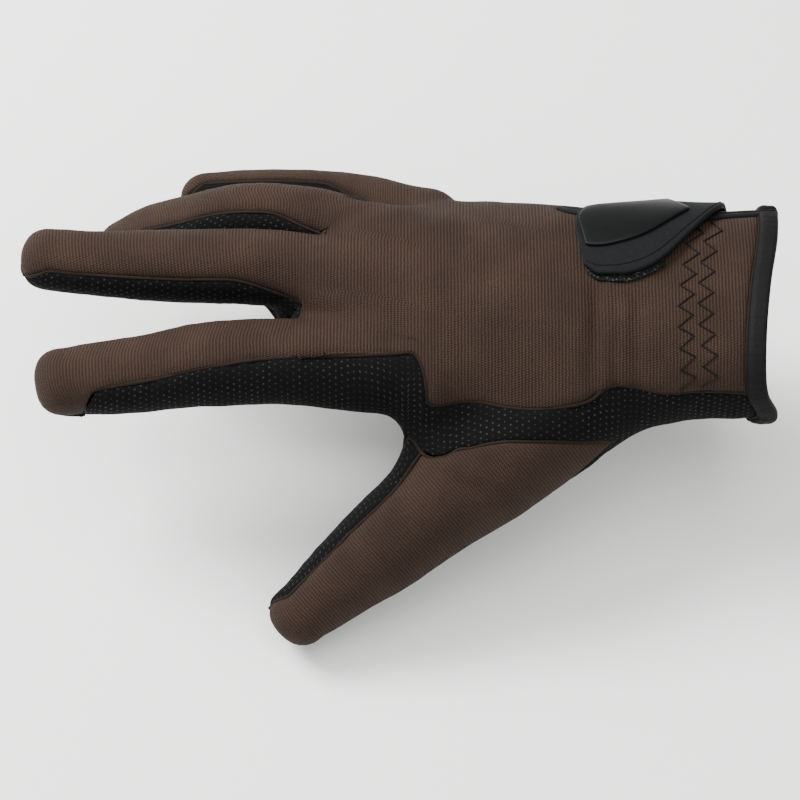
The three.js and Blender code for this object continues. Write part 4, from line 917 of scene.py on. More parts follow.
def cloth_places(p: Array, rows: Array, offset: float) -> Array:
    """Places on the cloth in mm: along the ribs' row direction and round the limb.

    Args:
        p: Grid of points.
        rows: Its rows.
        offset: Place of the first column round the limb.

    Returns:
        (rows, columns, 2): X on the hand and the length along each column on the
        fingers, and the length from the first column.
    """
    ahead = np.linalg.norm(np.diff(p, axis=0), axis=-1)
    along = np.zeros(p.shape[:2])
    along[1:] = np.cumsum(ahead * (rows[1:, None] > 1), axis=0)
    last = np.searchsorted(rows, 1.0, side="right") - 1
    along = np.where(rows[:, None] <= 1, -p[..., 0], along - p[last, :, 0])
    round_ = np.zeros(p.shape[:2])
    round_[:, 1:] = np.cumsum(np.linalg.norm(np.diff(p, axis=1), axis=-1), axis=1)
    middle = round_[:, [p.shape[1] // 2]]
    held = np.where(rows[:, None] > 1, middle - middle[last], 0)
    round_ = offset + (round_ - held)
    return np.stack([along, round_], axis=-1)


class Finish(Enum):
    """The materials."""

    KNIT = "knit"
    SUEDE = "suede"
    BINDING = "binding"
    TAB = "tab_fabric"
    BADGE = "badge"
    LOOP = "loop_tape"
    SEAM = "seam"
    THREAD = "thread"


def linear(code: str) -> tuple[float, float, float, float]:
    """sRGB hex to a linear colour."""
    values = [int(code[i:i + 2], 16) / 255 for i in (0, 2, 4)]
    return (*[v / 12.92 if v <= 0.04045 else ((v + 0.055) / 1.055) ** 2.4 for v in values], 1.0)


class Nodes:
    """A material's node tree, with one short call per node."""

    def __init__(self, name: str) -> None:
        self.material = bpy.data.materials.new(name)
        self.material.use_nodes = True
        self.tree = self.material.node_tree
        self.tree.nodes.clear()
        self.shader = self.add("ShaderNodeBsdfPrincipled")
        output = self.add("ShaderNodeOutputMaterial")
        self.tree.links.new(self.shader.outputs[0], output.inputs["Surface"])

    def add(self, kind: str, inputs: dict | None = None, **settings) -> bpy.types.Node:
        """Adds a node, sets its properties, and links or fills its inputs."""
        node = self.tree.nodes.new(kind)
        for name, value in settings.items():
            setattr(node, name, value)
        for name, value in (inputs or {}).items():
            self.put(node.inputs[name], value)
        return node

    def put(self, socket: bpy.types.NodeSocket, value) -> None:
        """Links a node's output to a socket, or sets its value."""
        if isinstance(value, bpy.types.NodeSocket):
            self.tree.links.new(value, socket)
        else:
            socket.default_value = value

    def math(self, operation: str, a, b=0.0, c=0.0) -> bpy.types.NodeSocket:
        """One sum on values."""
        return self.add("ShaderNodeMath", {0: a, 1: b, 2: c}, operation=operation).outputs[0]

    def mix(self, share, a, b) -> bpy.types.NodeSocket:
        """Mix of two colours."""
        return self.add("ShaderNodeMix", {0: share, 6: a, 7: b}, data_type="RGBA").outputs[2]

    def ramp(self, value, start: float, end: float, kind: str = "LINEAR") -> bpy.types.NodeSocket:
        """0 to 1 as a value goes from start to end."""
        inputs = {"Value": value, "From Min": start, "From Max": end}
        return self.add("ShaderNodeMapRange", inputs, interpolation_type=kind).outputs[0]

    def noise(self, scale: float, detail: float) -> bpy.types.NodeSocket:
        """Noise in object coordinates, scale in turns per metre."""
        vector = self.add("ShaderNodeTexCoord").outputs["Object"]
        inputs = {"Vector": vector, "Scale": scale, "Detail": detail}
        return self.add("ShaderNodeTexNoise", inputs).outputs["Fac"]

    def cloth(self) -> tuple[bpy.types.NodeSocket, bpy.types.NodeSocket]:
        """The two places on the cloth, in mm."""
        uv = self.add("ShaderNodeUVMap", uv_map="cloth").outputs[0]
        parts = self.add("ShaderNodeSeparateXYZ", {0: uv})
        return parts.outputs[0], parts.outputs[1]

    def bump(self, height, strength: float, distance: float) -> bpy.types.NodeSocket:
        """Bump of a height, its full step in metres."""
        inputs = {"Height": height, "Strength": strength, "Distance": distance}
        return self.add("ShaderNodeBump", inputs).outputs[0]

    def shade(self, **values) -> None:
        """Sets the shader's sockets by name."""
        for name, value in values.items():
            self.put(self.shader.inputs[name.replace("_", " ")], value)


@dataclass(frozen=True)
class KnitFinish:
    """Openwork polyester knit: fine ribs of small loops over a darker ground."""

    name: str = "brown openwork knit"
    yarn: str = "271c16"
    yarn_light: str = "3c2d24"
    ground: str = "0d0908"
    roughness: float = 0.85

    def build(self) -> bpy.types.Material:
        """Returns the material."""
        n = Nodes(self.name)
        u, v = n.cloth()
        wobble = n.math("MULTIPLY", n.noise(420, 1), 0.35)
        u = n.math("ADD", u, wobble)
        rib = n.math("SINE", n.math("MULTIPLY", u, 2 * math.pi / RIB_PITCH))
        side = n.math("FLOOR", n.math("DIVIDE", u, RIB_PITCH))
        shift = n.math("MULTIPLY", n.math("MODULO", side, 2.0), STITCH_PITCH / 2)
        loop = n.math("SINE", n.math("MULTIPLY", n.math("ADD", v, shift), 2 * math.pi / STITCH_PITCH))
        rib = n.math("MULTIPLY_ADD", rib, 0.5, 0.5)
        loop = n.math("MULTIPLY_ADD", loop, 0.5, 0.5)
        height = n.math("MULTIPLY_ADD", loop, 0.45, n.math("MULTIPLY", rib, 0.75))
        fuzz = n.noise(2600, 2)
        height = n.math("MULTIPLY_ADD", fuzz, 0.25, height)
        patch = n.math("MULTIPLY_ADD", n.noise(70, 4), 1.1, -0.15)
        uneven = n.math("MULTIPLY_ADD", n.noise(1300, 2), 0.9, 0.5)
        height = n.math("MULTIPLY", height, uneven)
        cover = n.math("SMOOTH_MIN", n.math("MULTIPLY", height, 1.15), 1.0, 0.2)
        yarn = n.mix(patch, linear(self.yarn), linear(self.yarn_light))
        colour = n.mix(cover, linear(self.ground), yarn)
        n.shade(Base_Color=colour, Roughness=self.roughness, Normal=n.bump(height, 0.7, 0.00035))
        n.shade(Sheen_Weight=0.02, Sheen_Roughness=0.5, Sheen_Tint=linear(self.yarn_light))
        n.shade(Specular_IOR_Level=0.12)
        return n.material


@dataclass(frozen=True)
class SuedeFinish:
    """Synthetic suede: matt black nap with small raised light dots of silicone."""

    name: str = "black dotted suede"
    nap: str = "060606"
    nap_light: str = "0c0c0d"
    dot: str = "28292a"

    def build(self) -> bpy.types.Material:
        """Returns the material."""
        n = Nodes(self.name)
        u, v = n.cloth()
        row = n.math("DIVIDE", u, DOT_ROW_PITCH)
        odd = n.math("MODULO", n.math("FLOOR", row), 2.0)
        column = n.math("ADD", n.math("DIVIDE", v, DOT_PITCH), n.math("MULTIPLY", odd, 0.5))
        du = n.math("MULTIPLY", n.math("SUBTRACT", n.math("FRACT", row), 0.5), DOT_ROW_PITCH)
        dv = n.math("MULTIPLY", n.math("SUBTRACT", n.math("FRACT", column), 0.5), DOT_PITCH)
        away = n.math("SQRT", n.math("ADD", n.math("MULTIPLY", du, du), n.math("MULTIPLY", dv, dv)))
        away = n.math("ADD", away, n.math("MULTIPLY_ADD", n.noise(900, 1), 0.3, -0.15))
        edge = n.ramp(away, DOT_SIZE * 0.3, DOT_SIZE * 0.62, "SMOOTHSTEP")
        dot = n.math("SUBTRACT", 1.0, edge)
        worn = n.ramp(n.noise(160, 2), 0.42, 0.6)
        nap = n.mix(n.noise(700, 3), linear(self.nap), linear(self.nap_light))
        shown = n.math("MULTIPLY", dot, n.math("MULTIPLY_ADD", worn, 0.75, 0.25))
        colour = n.mix(shown, nap, linear(self.dot))
        height = n.math("MULTIPLY_ADD", n.noise(3200, 2), 0.35, dot)
        rough = n.math("MULTIPLY_ADD", dot, -0.35, 0.88)
        n.shade(Base_Color=colour, Roughness=rough, Normal=n.bump(height, 0.6, 0.00022))
        n.shade(Sheen_Weight=0.01, Sheen_Roughness=0.6, Sheen_Tint=linear(self.nap_light))
        n.shade(Specular_IOR_Level=0.06)
        return n.material


@dataclass(frozen=True)
class ClothFinish:
    """Plain dark cloth with a fine nap: folded tape, hook tape or loop pile, which can carry painted glints
    of light as pale specks.
    """

    name: str
    base: str
    light: str
    roughness: float = 0.8
    grain: float = 1800.0
    depth: float = 0.0002
    # Share of painted glints: pale specks in the colour standing in for sparkle of light
    painted_glint: float = 0.0
    gloss: float = 0.12

    def build(self) -> bpy.types.Material:
        """Returns the material."""
        n = Nodes(self.name)
        fine = n.noise(self.grain, 3)
        colour = n.mix(n.noise(self.grain * 0.3, 2), linear(self.base), linear(self.light))
        # Painted glints: pale specks mixed into the colour stand in for the sparkle of light on the pile's
        # fibres.
        if self.painted_glint > 0:
            glint_mask = n.ramp(n.noise(1500, 1), 0.62, 0.7)
            colour = n.mix(n.math("MULTIPLY", glint_mask, self.painted_glint), colour, linear("4c4d4b"))
        n.shade(Base_Color=colour, Roughness=self.roughness, Normal=n.bump(fine, 0.8, self.depth))
        n.shade(Specular_IOR_Level=self.gloss)
        return n.material


@dataclass(frozen=True)
class RubberFinish:
    """Smooth satin rubber of the blank badge."""

    name: str = "satin black rubber"
    base: str = "070808"

    def build(self) -> bpy.types.Material:
        """Returns the material."""
        n = Nodes(self.name)
        fine = n.noise(2200, 2)
        rough = n.math("MULTIPLY_ADD", n.noise(300, 2), 0.12, 0.34)
        n.shade(Base_Color=linear(self.base), Roughness=rough, Normal=n.bump(fine, 0.15, 0.00005))
        n.shade(Specular_IOR_Level=0.14)
        return n.material


class Wardrobe:
    """The materials, made once."""

    def __init__(self) -> None:
        self.made = {
            Finish.KNIT: KnitFinish().build(),
            Finish.SUEDE: SuedeFinish().build(),
            Finish.BINDING: ClothFinish("black folded tape", "060607", "0e0e0f", 0.72, 1500).build(),
            Finish.TAB: ClothFinish("black tab suede", "090a0b", "121314", 0.82, 1900).build(),
            Finish.BADGE: RubberFinish().build(),
            # The loop pile's last value paints pale specks into its colour as glints of light.
            Finish.LOOP: ClothFinish("black loop pile", "08090a", "151617", 0.9, 1200, 0.0006, 0.8).build(),
            Finish.SEAM: ClothFinish("dark brown seam thread", "100a07", "1d140d", 0.75, 2500).build(),
            Finish.THREAD: ClothFinish("brown zigzag thread", "080504", "120b07", 0.6, 2600).build(),
        }

    def dress(self, obj: bpy.types.Object, finish: Finish, *nodes: str, on: Finish | None = None) -> None:
        """Gives a piece its material, its body and the nodes it stands for.

        Args:
            obj: The piece.
            finish: Its material.
            nodes: The part's nodes that it replaces.
            on: The cloth that a thread or cord lies on. Not used.
        """
        obj.data.materials.append(self.made[finish])
        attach(obj, "root")
        if nodes:
            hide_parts(*nodes)


def swept(name: str, path: Array, up: Array, profile: Array) -> bpy.types.Object:
    """A profile carried along a path, its ends closed by fans.

    Args:
        name: Object name.
        path: Points of the centreline.
        up: Surface direction at each.
        profile: Points (sides, 2) in mm, across the path and up.

    Returns:
        The swept piece.
    """
    run = unit(np.gradient(path, axis=0))
    side = unit(np.cross(run, up))
    lift = np.cross(side, run)
    rings = path[:, None] + side[:, None] * profile[None, :, :1] + lift[:, None] * profile[None, :, 1:]
    count, sides = rings.shape[:2]
    points = np.concatenate([rings.reshape(-1, 3), path[[0, -1]]])
    k = np.arange(sides)
    ahead = (k + 1) % sides
    ring = np.arange(count - 1)[:, None] * sides
    quads = np.stack([ring + k, ring + ahead, ring + sides + ahead, ring + sides + k], -1).reshape(-1, 4)
    last = (count - 1) * sides
    fans = np.concatenate([
        np.stack([np.full(sides, count * sides), ahead, k], -1),
        np.stack([np.full(sides, count * sides + 1), last + k, last + ahead], -1),
    ])
    mesh = bpy.data.meshes.new(name)
    mesh.from_pydata((points * MM).tolist(), [], quads.tolist() + fans.tolist())
    mesh.polygons.foreach_set("use_smooth", np.ones(len(mesh.polygons), bool))
    turn_out(mesh)
    return linked(name, mesh)


def turn_out(mesh: bpy.types.Mesh) -> None:
    """Turns a closed mesh's faces outwards."""
    mesh.calc_loop_triangles()
    co = np.zeros(len(mesh.vertices) * 3)
    mesh.vertices.foreach_get("co", co)
    co = co.reshape(-1, 3)
    tri = np.zeros(len(mesh.loop_triangles) * 3, np.int32)
    mesh.loop_triangles.foreach_get("vertices", tri)
    a, b, c = co[tri.reshape(-1, 3)].transpose(1, 0, 2)
    if np.einsum("ij,ij->i", a, np.cross(b, c)).sum() < 0:
        mesh.flip_normals()


def resample(path: Array, step: float) -> Array:
    """The same path with points one step apart."""
    length = np.concatenate([[0], np.cumsum(np.linalg.norm(np.diff(path, axis=0), axis=1))])
    at = np.linspace(0, length[-1], max(int(length[-1] / step), 2) + 1)
    return np.stack([np.interp(at, length, path[:, k]) for k in range(3)], -1)


def round_profile(width: float, height: float, sides: int, power: float) -> Array:
    """Rounded section of a strip, squarer with a lower power."""
    turn = (np.arange(sides) + 0.5) / sides * 2 * math.pi
    circle = np.stack([np.cos(turn), np.sin(turn)], -1)
    return np.sign(circle) * np.abs(circle) ** power * np.array([width, height]) / 2


def cord_profile(size: float) -> Array:
    """Round section of a cord or thread."""
    return round_profile(size, size, 6, 1.0)


def seam_cord(name: str, path: Array, step: float) -> bpy.types.Object:
    """A thin cord laid along surface points, sunk into the seam."""
    path = resample(path, step)
    normals = FORM.normals(path)
    return swept(name, path - normals * SEAM_SINK, normals, cord_profile(SEAM_CORD))


@dataclass
class Hand:
    """The knit back and the suede palm with its side wrap."""

    wardrobe: Wardrobe
    rows: Array = field(default_factory=panel_rows)

    def __post_init__(self) -> None:
        back_webs = [Lines.web(i, BACK_WEBS[i], WEB_LOOK) for i in range(3)]
        palm_webs = [Lines.web(i, PALM_WEBS[i], -WEB_LOOK) for i in range(3)]
        self.back_centres = [Lines.centre(f, None if f == 3 else BACK_CENTRES[f], False) for f in range(4)]
        self.palm_centres = [Lines.centre(f, PALM_CENTRES[f], True) for f in range(4)]
        near_back, far_back, near_palm, far_palm = zip(*FINGER_SEAMS)
        self.back_near, self.back_far = self.finger_sides(WEB_LOOK, near_back, far_back, back_webs)
        self.palm_near, self.palm_far = self.finger_sides(-WEB_LOOK, near_palm, far_palm, palm_webs)

    @staticmethod
    def finger_sides(look: float, near: tuple, far: tuple, webs: list[Line]) -> tuple[list[Line], list[Line]]:
        """Lines down the near and the far side of each finger, from its webs."""
        nears = [Lines.side(f, f - 1, look, near[f], webs[f - 1]) for f in (1, 2, 3)]
        fars = [Lines.side(f, f, look, far[f], webs[f]) for f in (0, 1, 2)]
        return [Lines.wrap] + nears, fars + [Lines.outer]

    def vent_side(self, sign: int) -> Line:
        """Line beside the vent's slit, which closes on the little finger's line."""
        def line(row: Array) -> Rays:
            x = VENT_START + (FINGER_END_X[3] - VENT_START) * np.minimum(row, 1)
            open_ = np.clip((VENT_END_ROW - row) / (VENT_END_ROW - VENT_FULL_ROW), 0, 1)
            away = sign * open_ * degrees_round(VENT_HALF - SEAM_GAP / 2)
            beside = hand_rays(x, Lines.vent_angle(x) + away)
            return self.back_centres[3](row).where(row >= VENT_END_ROW, beside)
        return line

    def strip(self, shell: Shell, rays: Callable, columns: Array, offset: float) -> float:
        """Adds one strip and returns the place of its last column at the wrist."""
        p = cast_grid(rays, self.rows, columns, on_cuff=True)
        uv = cloth_places(p, self.rows, offset)
        shell.add(p, uv)
        return float(uv[0, -1, 1])

    def back(self) -> None:
        """The openwork knit back, slit by the vent."""
        shell = Shell()
        even = np.linspace(0, 1, BACK_STRIPS + 1)
        place = 0.0
        for f in range(3):
            columns = even
            rays = through(self.back_near[f], self.back_centres[f], self.back_far[f])
            rays = closing(f, rays, lambda u: u)
            if f == 0:
                columns = np.linspace(0, 1, 2 * BACK_STRIPS + 1)
                rays = aimed_start(rays, AIMED_SHARE)
            place = self.strip(shell, rays, columns, place)
        half = np.linspace(0, 1, BACK_STRIPS // 2 + 1)
        near = closing(3, between(self.back_near[3], self.vent_side(-1)), lambda u: u / 2)
        place = self.strip(shell, near, half, place)
        far = closing(3, between(self.vent_side(1), self.back_far[3]), lambda u: (1 + u) / 2)
        self.strip(shell, far, half, place)
        self.wardrobe.dress(shell.build("back_knit", KNIT_WALL, KNIT_CREASE), Finish.KNIT, "back_panel")

    def palm(self) -> None:
        """The suede palm with the side wrap and the thumb's mouth."""
        shell = Shell()
        even = np.linspace(0, 1, PALM_STRIPS + 1)
        place = 0.0
        for f in (3, 2, 1):
            rays = through(self.palm_far[f], self.palm_centres[f], self.palm_near[f])
            place = self.strip(shell, closing(f, rays, lambda u: 1 - u), even, place)
        half = np.linspace(0, 1, PALM_STRIPS // 2 + 1)
        inner = between(self.palm_far[0], self.palm_centres[0])
        root = between(self.palm_centres[0], Lines.mouth("lower"))
        band = between(Lines.mouth("upper"), Lines.wrap)
        place = self.strip(shell, closing(0, inner, lambda u: 1 - u / 2), half, place)
        place = self.strip(shell, closing(0, root, lambda u: 0.5 - u / 4), half, place)
        self.strip(shell, closing(0, band, lambda u: (1 - u) / 4), half, place)
        self.wardrobe.dress(shell.build("palm_suede", SUEDE_WALL, SUEDE_CREASE), Finish.SUEDE, "palm_panel")

    def fourchette(self, i: int, name: str, node: str) -> None:
        """The strip between two fingers, down one and up the other."""
        shell = Shell()
        rows = self.rows[(self.rows >= 1) & (self.rows <= 2.92)]
        columns = np.linspace(0, 1, SIDE_STRIPS + 1)
        near, far = FINGER_SEAMS[i], FINGER_SEAMS[i + 1]
        up = Lines.flank(i, i, near[1], near[3])
        down = Lines.flank(i + 1, i, far[0], far[2])
        pair = [
            closing(i, over_middle(self.back_far[i], up, self.palm_far[i]), np.ones_like),
            closing(i + 1, over_middle(self.back_near[i + 1], down, self.palm_near[i + 1]), np.zeros_like),
        ]
        for rays in pair:
            p = cast_grid(rays, rows, columns)
            shell.add(p, cloth_places(p, rows, 0.0))
        self.wardrobe.dress(shell.build(name, SUEDE_WALL, SIDE_CREASE), Finish.SUEDE, node)

    def seam_cords(self) -> None:
        """Dark thread lying in the seams between the knit and the suede."""
        rows = self.rows
        finger = rows[rows >= 1]
        names = ("index", "middle", "ring", "little")
        runs = {"wrap": (Lines.wrap, rows), "outer": (Lines.outer, rows)}
        for f, name in enumerate(names):
            if f > 0:
                runs[f"{name}_back_near"] = (self.back_near[f], finger)
                runs[f"{name}_palm_near"] = (self.palm_near[f], finger)
            if f < 3:
                runs[f"{name}_back_far"] = (self.back_far[f], finger)
                runs[f"{name}_palm_far"] = (self.palm_far[f], finger)
        for name, (line, places) in runs.items():
            cord = seam_cord(f"seam_{name}", FORM.cast(line(places)), 1.2)
            self.wardrobe.dress(cord, Finish.SEAM, on=Finish.SUEDE)
        for f, name in enumerate(names):
            path = FORM.cast(tip_seam(f, np.linspace(0, 1, 17)))
            cord = seam_cord(f"seam_{name}_tip", path, 1.0)
            self.wardrobe.dress(cord, Finish.SEAM, on=Finish.SUEDE)

    def build(self) -> None:
        """Builds the hand's pieces."""
        self.back()
        self.palm()
        names = (("fourchette_one", "fourchette_index_middle"), ("fourchette_two", "fourchette_middle_ring"),
                 ("fourchette_three", "fourchette_ring_little"))
        for i, (name, node) in enumerate(names):
            self.fourchette(i, name, node)
        self.seam_cords()


def thumb_rows() -> Array:
    """Rows of the thumb, 0 to 1 from its mouth to its end and 2 at its tip's seam."""
    return np.concatenate([np.linspace(0, 1, 44), np.linspace(1, 2, 12)[1:]])


@dataclass
class Thumb:
    """The set-in thumb: knit over its back and suede under it."""

    wardrobe: Wardrobe
    rows: Array = field(default_factory=thumb_rows)

    def column(self, edge: str, place: float, angle: float, tip: float, rows: Array) -> Rays:
        """Rays of one column, from the mouth round to the tip's seam."""
        mouth = FORM.cast(Lines.mouth(edge)(np.array([place])))[0]
        alongs = np.linspace(0, THUMB.end, 241)
        first = alongs[np.linalg.norm(THUMB.at(alongs) - mouth, axis=1).argmin()]
        own = unit(mouth - THUMB.at(first))
        ahead = THUMB.rays(first + (THUMB.end - first) * np.minimum(rows, 1), np.full_like(rows, angle))
        tube = Rays(ahead.o, np.broadcast_to(own, ahead.d.shape)).mixed(ahead, ease(0, THUMB_TURN, rows))
        seam = thumb_tip_seam(np.full_like(rows, tip))
        return tube.where(rows <= 1, tube.mixed(seam, np.clip(rows - 1, 0, 1)))

    def half(self, name: str, wall: float, places: list, angles: tuple, tips: tuple,
             crease: float) -> bpy.types.Object:
        """One side of the thumb, its columns spread evenly by angle."""
        shares = np.linspace(0, 1, len(places))
        columns = []
        for (edge, place), share in zip(places, shares):
            angle = angles[0] + (angles[1] - angles[0]) * share
            tip = tips[0] + (tips[1] - tips[0]) * share
            columns.append(FORM.cast(self.column(edge, place, angle, tip, self.rows)))
        p = np.stack(columns, axis=1)
        ahead = np.zeros(p.shape[:2])
        ahead[1:] = np.cumsum(np.linalg.norm(np.diff(p, axis=0), axis=-1), axis=0)
        ahead += (p[0, :, :] @ unit(THUMB.at(0.0) - THUMB.at(THUMB.end)) * -1)[None]
        side = np.zeros(p.shape[:2])
        side[:, 1:] = np.cumsum(np.linalg.norm(np.diff(p, axis=1), axis=-1), axis=1)
        side -= side[:, [p.shape[1] // 2]]
        shell = Shell()
        shell.add(p, np.stack([ahead, side], -1))
        return shell.build(name, wall, crease)

    def build(self) -> None:
        """Builds both sides and the seams between them."""
        back = [("upper", r) for r in np.linspace(MOUTH_REAR, MOUTH_CORNER, 25)]
        turn = (THUMB_FAR_SEAM, THUMB_NEAR_SEAM)
        knit = self.half("thumb_knit", KNIT_WALL, back, turn, (0, 1), KNIT_CREASE)
        self.wardrobe.dress(knit, Finish.KNIT, "thumb_back")
        front = [("upper", r) for r in np.linspace(MOUTH_CORNER, MOUTH_FRONT, 7)]
        under = [("lower", r) for r in np.linspace(MOUTH_FRONT, MOUTH_REAR, 28)[1:]]
        turn = (THUMB_NEAR_SEAM, THUMB_FAR_SEAM + 360)
        suede = self.half("thumb_suede", SUEDE_WALL, front + under, turn, (1, 0), SUEDE_CREASE)
        self.wardrobe.dress(suede, Finish.SUEDE, "thumb_palm")
        rows = self.rows
        far = FORM.cast(self.column("upper", MOUTH_REAR, THUMB_FAR_SEAM, 0, rows))
        near = FORM.cast(self.column("upper", MOUTH_CORNER, THUMB_NEAR_SEAM, 1, rows))
        mouth = np.linspace(MOUTH_REAR, MOUTH_FRONT, 50)
        paths = {
            "far": far, "near": near, "tip": FORM.cast(thumb_tip_seam(np.linspace(0, 1, 17))),
            "upper": FORM.cast(Lines.mouth("upper")(mouth)), "lower": FORM.cast(Lines.mouth("lower")(mouth)),
        }
        for name, path in paths.items():
            cord = seam_cord(f"thumb_seam_{name}", path, 1.0)
            self.wardrobe.dress(cord, Finish.SEAM, on=Finish.SUEDE)


def surface_stations(x: Array, angle: Array, lift: float) -> tuple[Array, Array]:
    """Points over the wrist's surface and their outward directions."""
    p = FORM.cast(hand_rays(np.asarray(x, float), np.asarray(angle, float)))
    n = FORM.normals(p)
    return p + n * lift, n


@dataclass
class Cuff:
    """The bound rim, the bound vent and the two rows of zigzag stitching."""

    wardrobe: Wardrobe

    def binding(self) -> None:
        """Folded tape round the rim, with a raised fold near its outer edge."""
        open_ = degrees_round(VENT_HALF + SEAM_GAP)
        from_ = VENT_LINE.columns["angle"][0] + open_
        angle = from_ + (360 - 2 * open_) * np.linspace(0, 1, 241)
        p, n = surface_stations(cuff_edge(angle) - CUFF_BINDING_WIDTH / 2, angle, -SUEDE_WALL / 2)
        ripple = 0.12 * np.sin(angle * 1.9 + 2 * np.sin(angle * 0.31))
        profile = round_profile(CUFF_BINDING_WIDTH, CUFF_BINDING_THICKNESS, 28, 0.62)
        across = profile[:, 0] / (CUFF_BINDING_WIDTH / 2)
        top = profile[:, 1] > 0
        profile[:, 1] += np.where(top, -0.28 * np.exp(-((across - 0.34) / 0.09) ** 2), 0)
        profile[:, 1] += np.where(top, 0.16 * np.exp(-((across + 0.2) / 0.35) ** 2), 0)
        rim = swept("cuff_tape", p + n * ripple[:, None], n, profile)
        self.wardrobe.dress(rim, Finish.BINDING, "cuff_binding")
        seam, normals = surface_stations(panel_edge(angle), angle, -CUFF_CORD_SINK)
        cord = swept("cuff_seam", seam, normals, cord_profile(CUFF_CORD))
        self.wardrobe.dress(cord, Finish.SEAM, on=Finish.BINDING)

    def vent(self) -> None:
        """Thin tape beside the slit, lapped over the knit and joined round its end."""
        offset = degrees_round((VENT_BINDING_WIDTH + VENT_LAP) / 2)
        rows = np.linspace(0, VENT_FULL_ROW, 40)
        leg = VENT_START + (FINGER_END_X[3] - VENT_START) * rows
        leg = np.concatenate([[cuff_edge(VENT_LINE.columns["angle"][0])], leg])
        end = leg[-1] - 1.3 * VENT_BINDING_WIDTH
        x = np.concatenate([leg, [end], leg[::-1]])
        turn = np.concatenate([np.full(len(leg), -1.0), [0], np.ones(len(leg))])
        p, n = surface_stations(x, Lines.vent_angle(x) + turn * offset, -KNIT_WALL / 2)
        profile = round_profile(VENT_BINDING_WIDTH + VENT_LAP, VENT_BINDING_THICKNESS, 12, 0.7)
        self.wardrobe.dress(swept("vent_tape", p, n, profile), Finish.BINDING, "vent_binding")

    def zigzags(self) -> None:
        """Two rows of zigzag thread across the back of the wrist, each a triangle wave
        about its row's middle."""
        angle = np.linspace(-67, 42, 1500)
        for name in ("fore", "rear"):
            x = np.full_like(angle, -20.0)
            for _ in range(3):
                up = FORM.cast(hand_rays(x, angle)) @ VIEW_UP
                x = ZIGZAG_ROWS(name, up)
            turn = (up - up[0]) / ZIGZAG_PITCH
            swing = (4 * np.abs(turn - np.floor(turn + 0.5)) - 1) * ZIGZAG_SWING
            p, n = surface_stations(x + swing, angle, 0.0)
            relief = Relief.of(p, n, np.full(len(p), CLEAR_OF_SEAMS), KNIT_CREASE)
            p = p + n * (relief + THREAD * 0.2)[:, None]
            thread = swept(f"zigzag_{name}", p, n, cord_profile(THREAD))
            self.wardrobe.dress(thread, Finish.THREAD, on=Finish.KNIT)

    def build(self) -> None:
        """Builds the cuff's pieces."""
        self.binding()
        self.vent()
        self.zigzags()


def tab_place(place: Array, across: Array) -> tuple[Array, Array]:
    """X and degrees round the wrist, by share along the tab and share across it."""
    along = TAB_ROWS("upperAlong", place) * (1 - across) + TAB_ROWS("lowerAlong", place) * across
    reach = TAB_ROWS("upper", place) * (1 - across) + TAB_ROWS("lower", place) * across
    return -TAB_START - along * TAB_LENGTH, degrees_round(reach * TAB_REACH)


@dataclass
class Closure:
    """The tab over the vent, its blank badge and the loop patch under it."""

    wardrobe: Wardrobe

    def sheet(self, name: str, span: tuple, bottom: float | None, thickness: float, counts: tuple,
              crown: float, trim: float = 0.0) -> bpy.types.Object:
        """A sheet over the wrist, bent with it, its outline within the tab's.

        Args:
            name: Object name.
            span: Where it starts and ends along the tab and across it.
            bottom: Height of its underside, or None for the tab's own.
            thickness: Its thickness.
            counts: Steps along and across.
            crown: How much its middle rises.
            trim: How much its corners are rounded, in shares of the span.

        Returns:
            The sheet.
        """
        u, v = np.meshgrid(np.linspace(0, 1, counts[0] + 1), np.linspace(0, 1, counts[1] + 1), indexing="ij")
        cut = trim * np.clip((u - 0.75) / 0.25, 0, 1) ** 2
        across = span[2] + (span[3] - span[2]) * (0.5 + (v - 0.5) * (1 - cut))
        place = span[0] + (span[1] - span[0]) * u
        x, angle = tab_place(place, across)
        p, n = surface_stations(x.ravel(), angle.ravel(), 0.0)
        under = TAB_ROWS("lift", place.ravel()) if bottom is None else np.full(p.shape[0], bottom)
        rise = crown * (np.clip(1 - (2 * u - 1) ** 4, 0, 1) * np.clip(1 - (2 * v - 1) ** 4, 0, 1)).ravel()
        p = p + n * (under + thickness + rise)[:, None]
        quads = grid_quads(*u.shape)
        if np.einsum("ij,ij->i", face_crosses(p, quads), n[quads[:, 0]]).sum() < 0:
            quads = quads[:, ::-1]
        uv = np.stack([(u * 40).ravel(), (v * 20).ravel()], -1)[quads]
        obj = mesh_object(name, p, quads, uv)
        add_wall(obj, thickness, 2)
        return obj

    def build(self) -> None:
        """Builds the closure's pieces."""
        tab = self.sheet("tab", (0, 1, 0, 1), None, TAB_THICKNESS, (44, 18), 0.1)
        self.wardrobe.dress(tab, Finish.TAB, "closure_tab")
        lift = TAB_ROWS.columns["lift"][-1] + TAB_THICKNESS + 0.15
        badge = self.sheet("badge", BADGE_SPAN, lift, BADGE_THICKNESS, (26, 12), 0.35, 0.15)
        self.wardrobe.dress(badge, Finish.BADGE, "tab_badge")
        loop = self.sheet("loop_pile", LOOP_SPAN, LOOP_LIFT, LOOP_THICKNESS, (20, 10), 0.0)
        self.wardrobe.dress(loop, Finish.LOOP, "loop_patch")
        self.fold_line()

    def fold_line(self) -> None:
        """Stitch line along the tab's lower edge, a little inside it."""
        u = np.linspace(0.06, 0.97, 160)
        x, angle = tab_place(u, np.full_like(u, 0.9))
        p, n = surface_stations(x, angle, 0.0)
        p = p + n * (TAB_ROWS("lift", u) + TAB_THICKNESS + 0.12)[:, None]
        thread = swept("tab_stitch", p, n, cord_profile(TAB_THREAD))
        self.wardrobe.dress(thread, Finish.BINDING, on=Finish.TAB)


# Photograph
IMAGE_SIZE = 800
MM_PER_PIXEL = 0.295
ORIGIN_PIXEL = (765.0, 312.0)
CAMERA_AWAY = 1150.0
SENSOR = 36.0

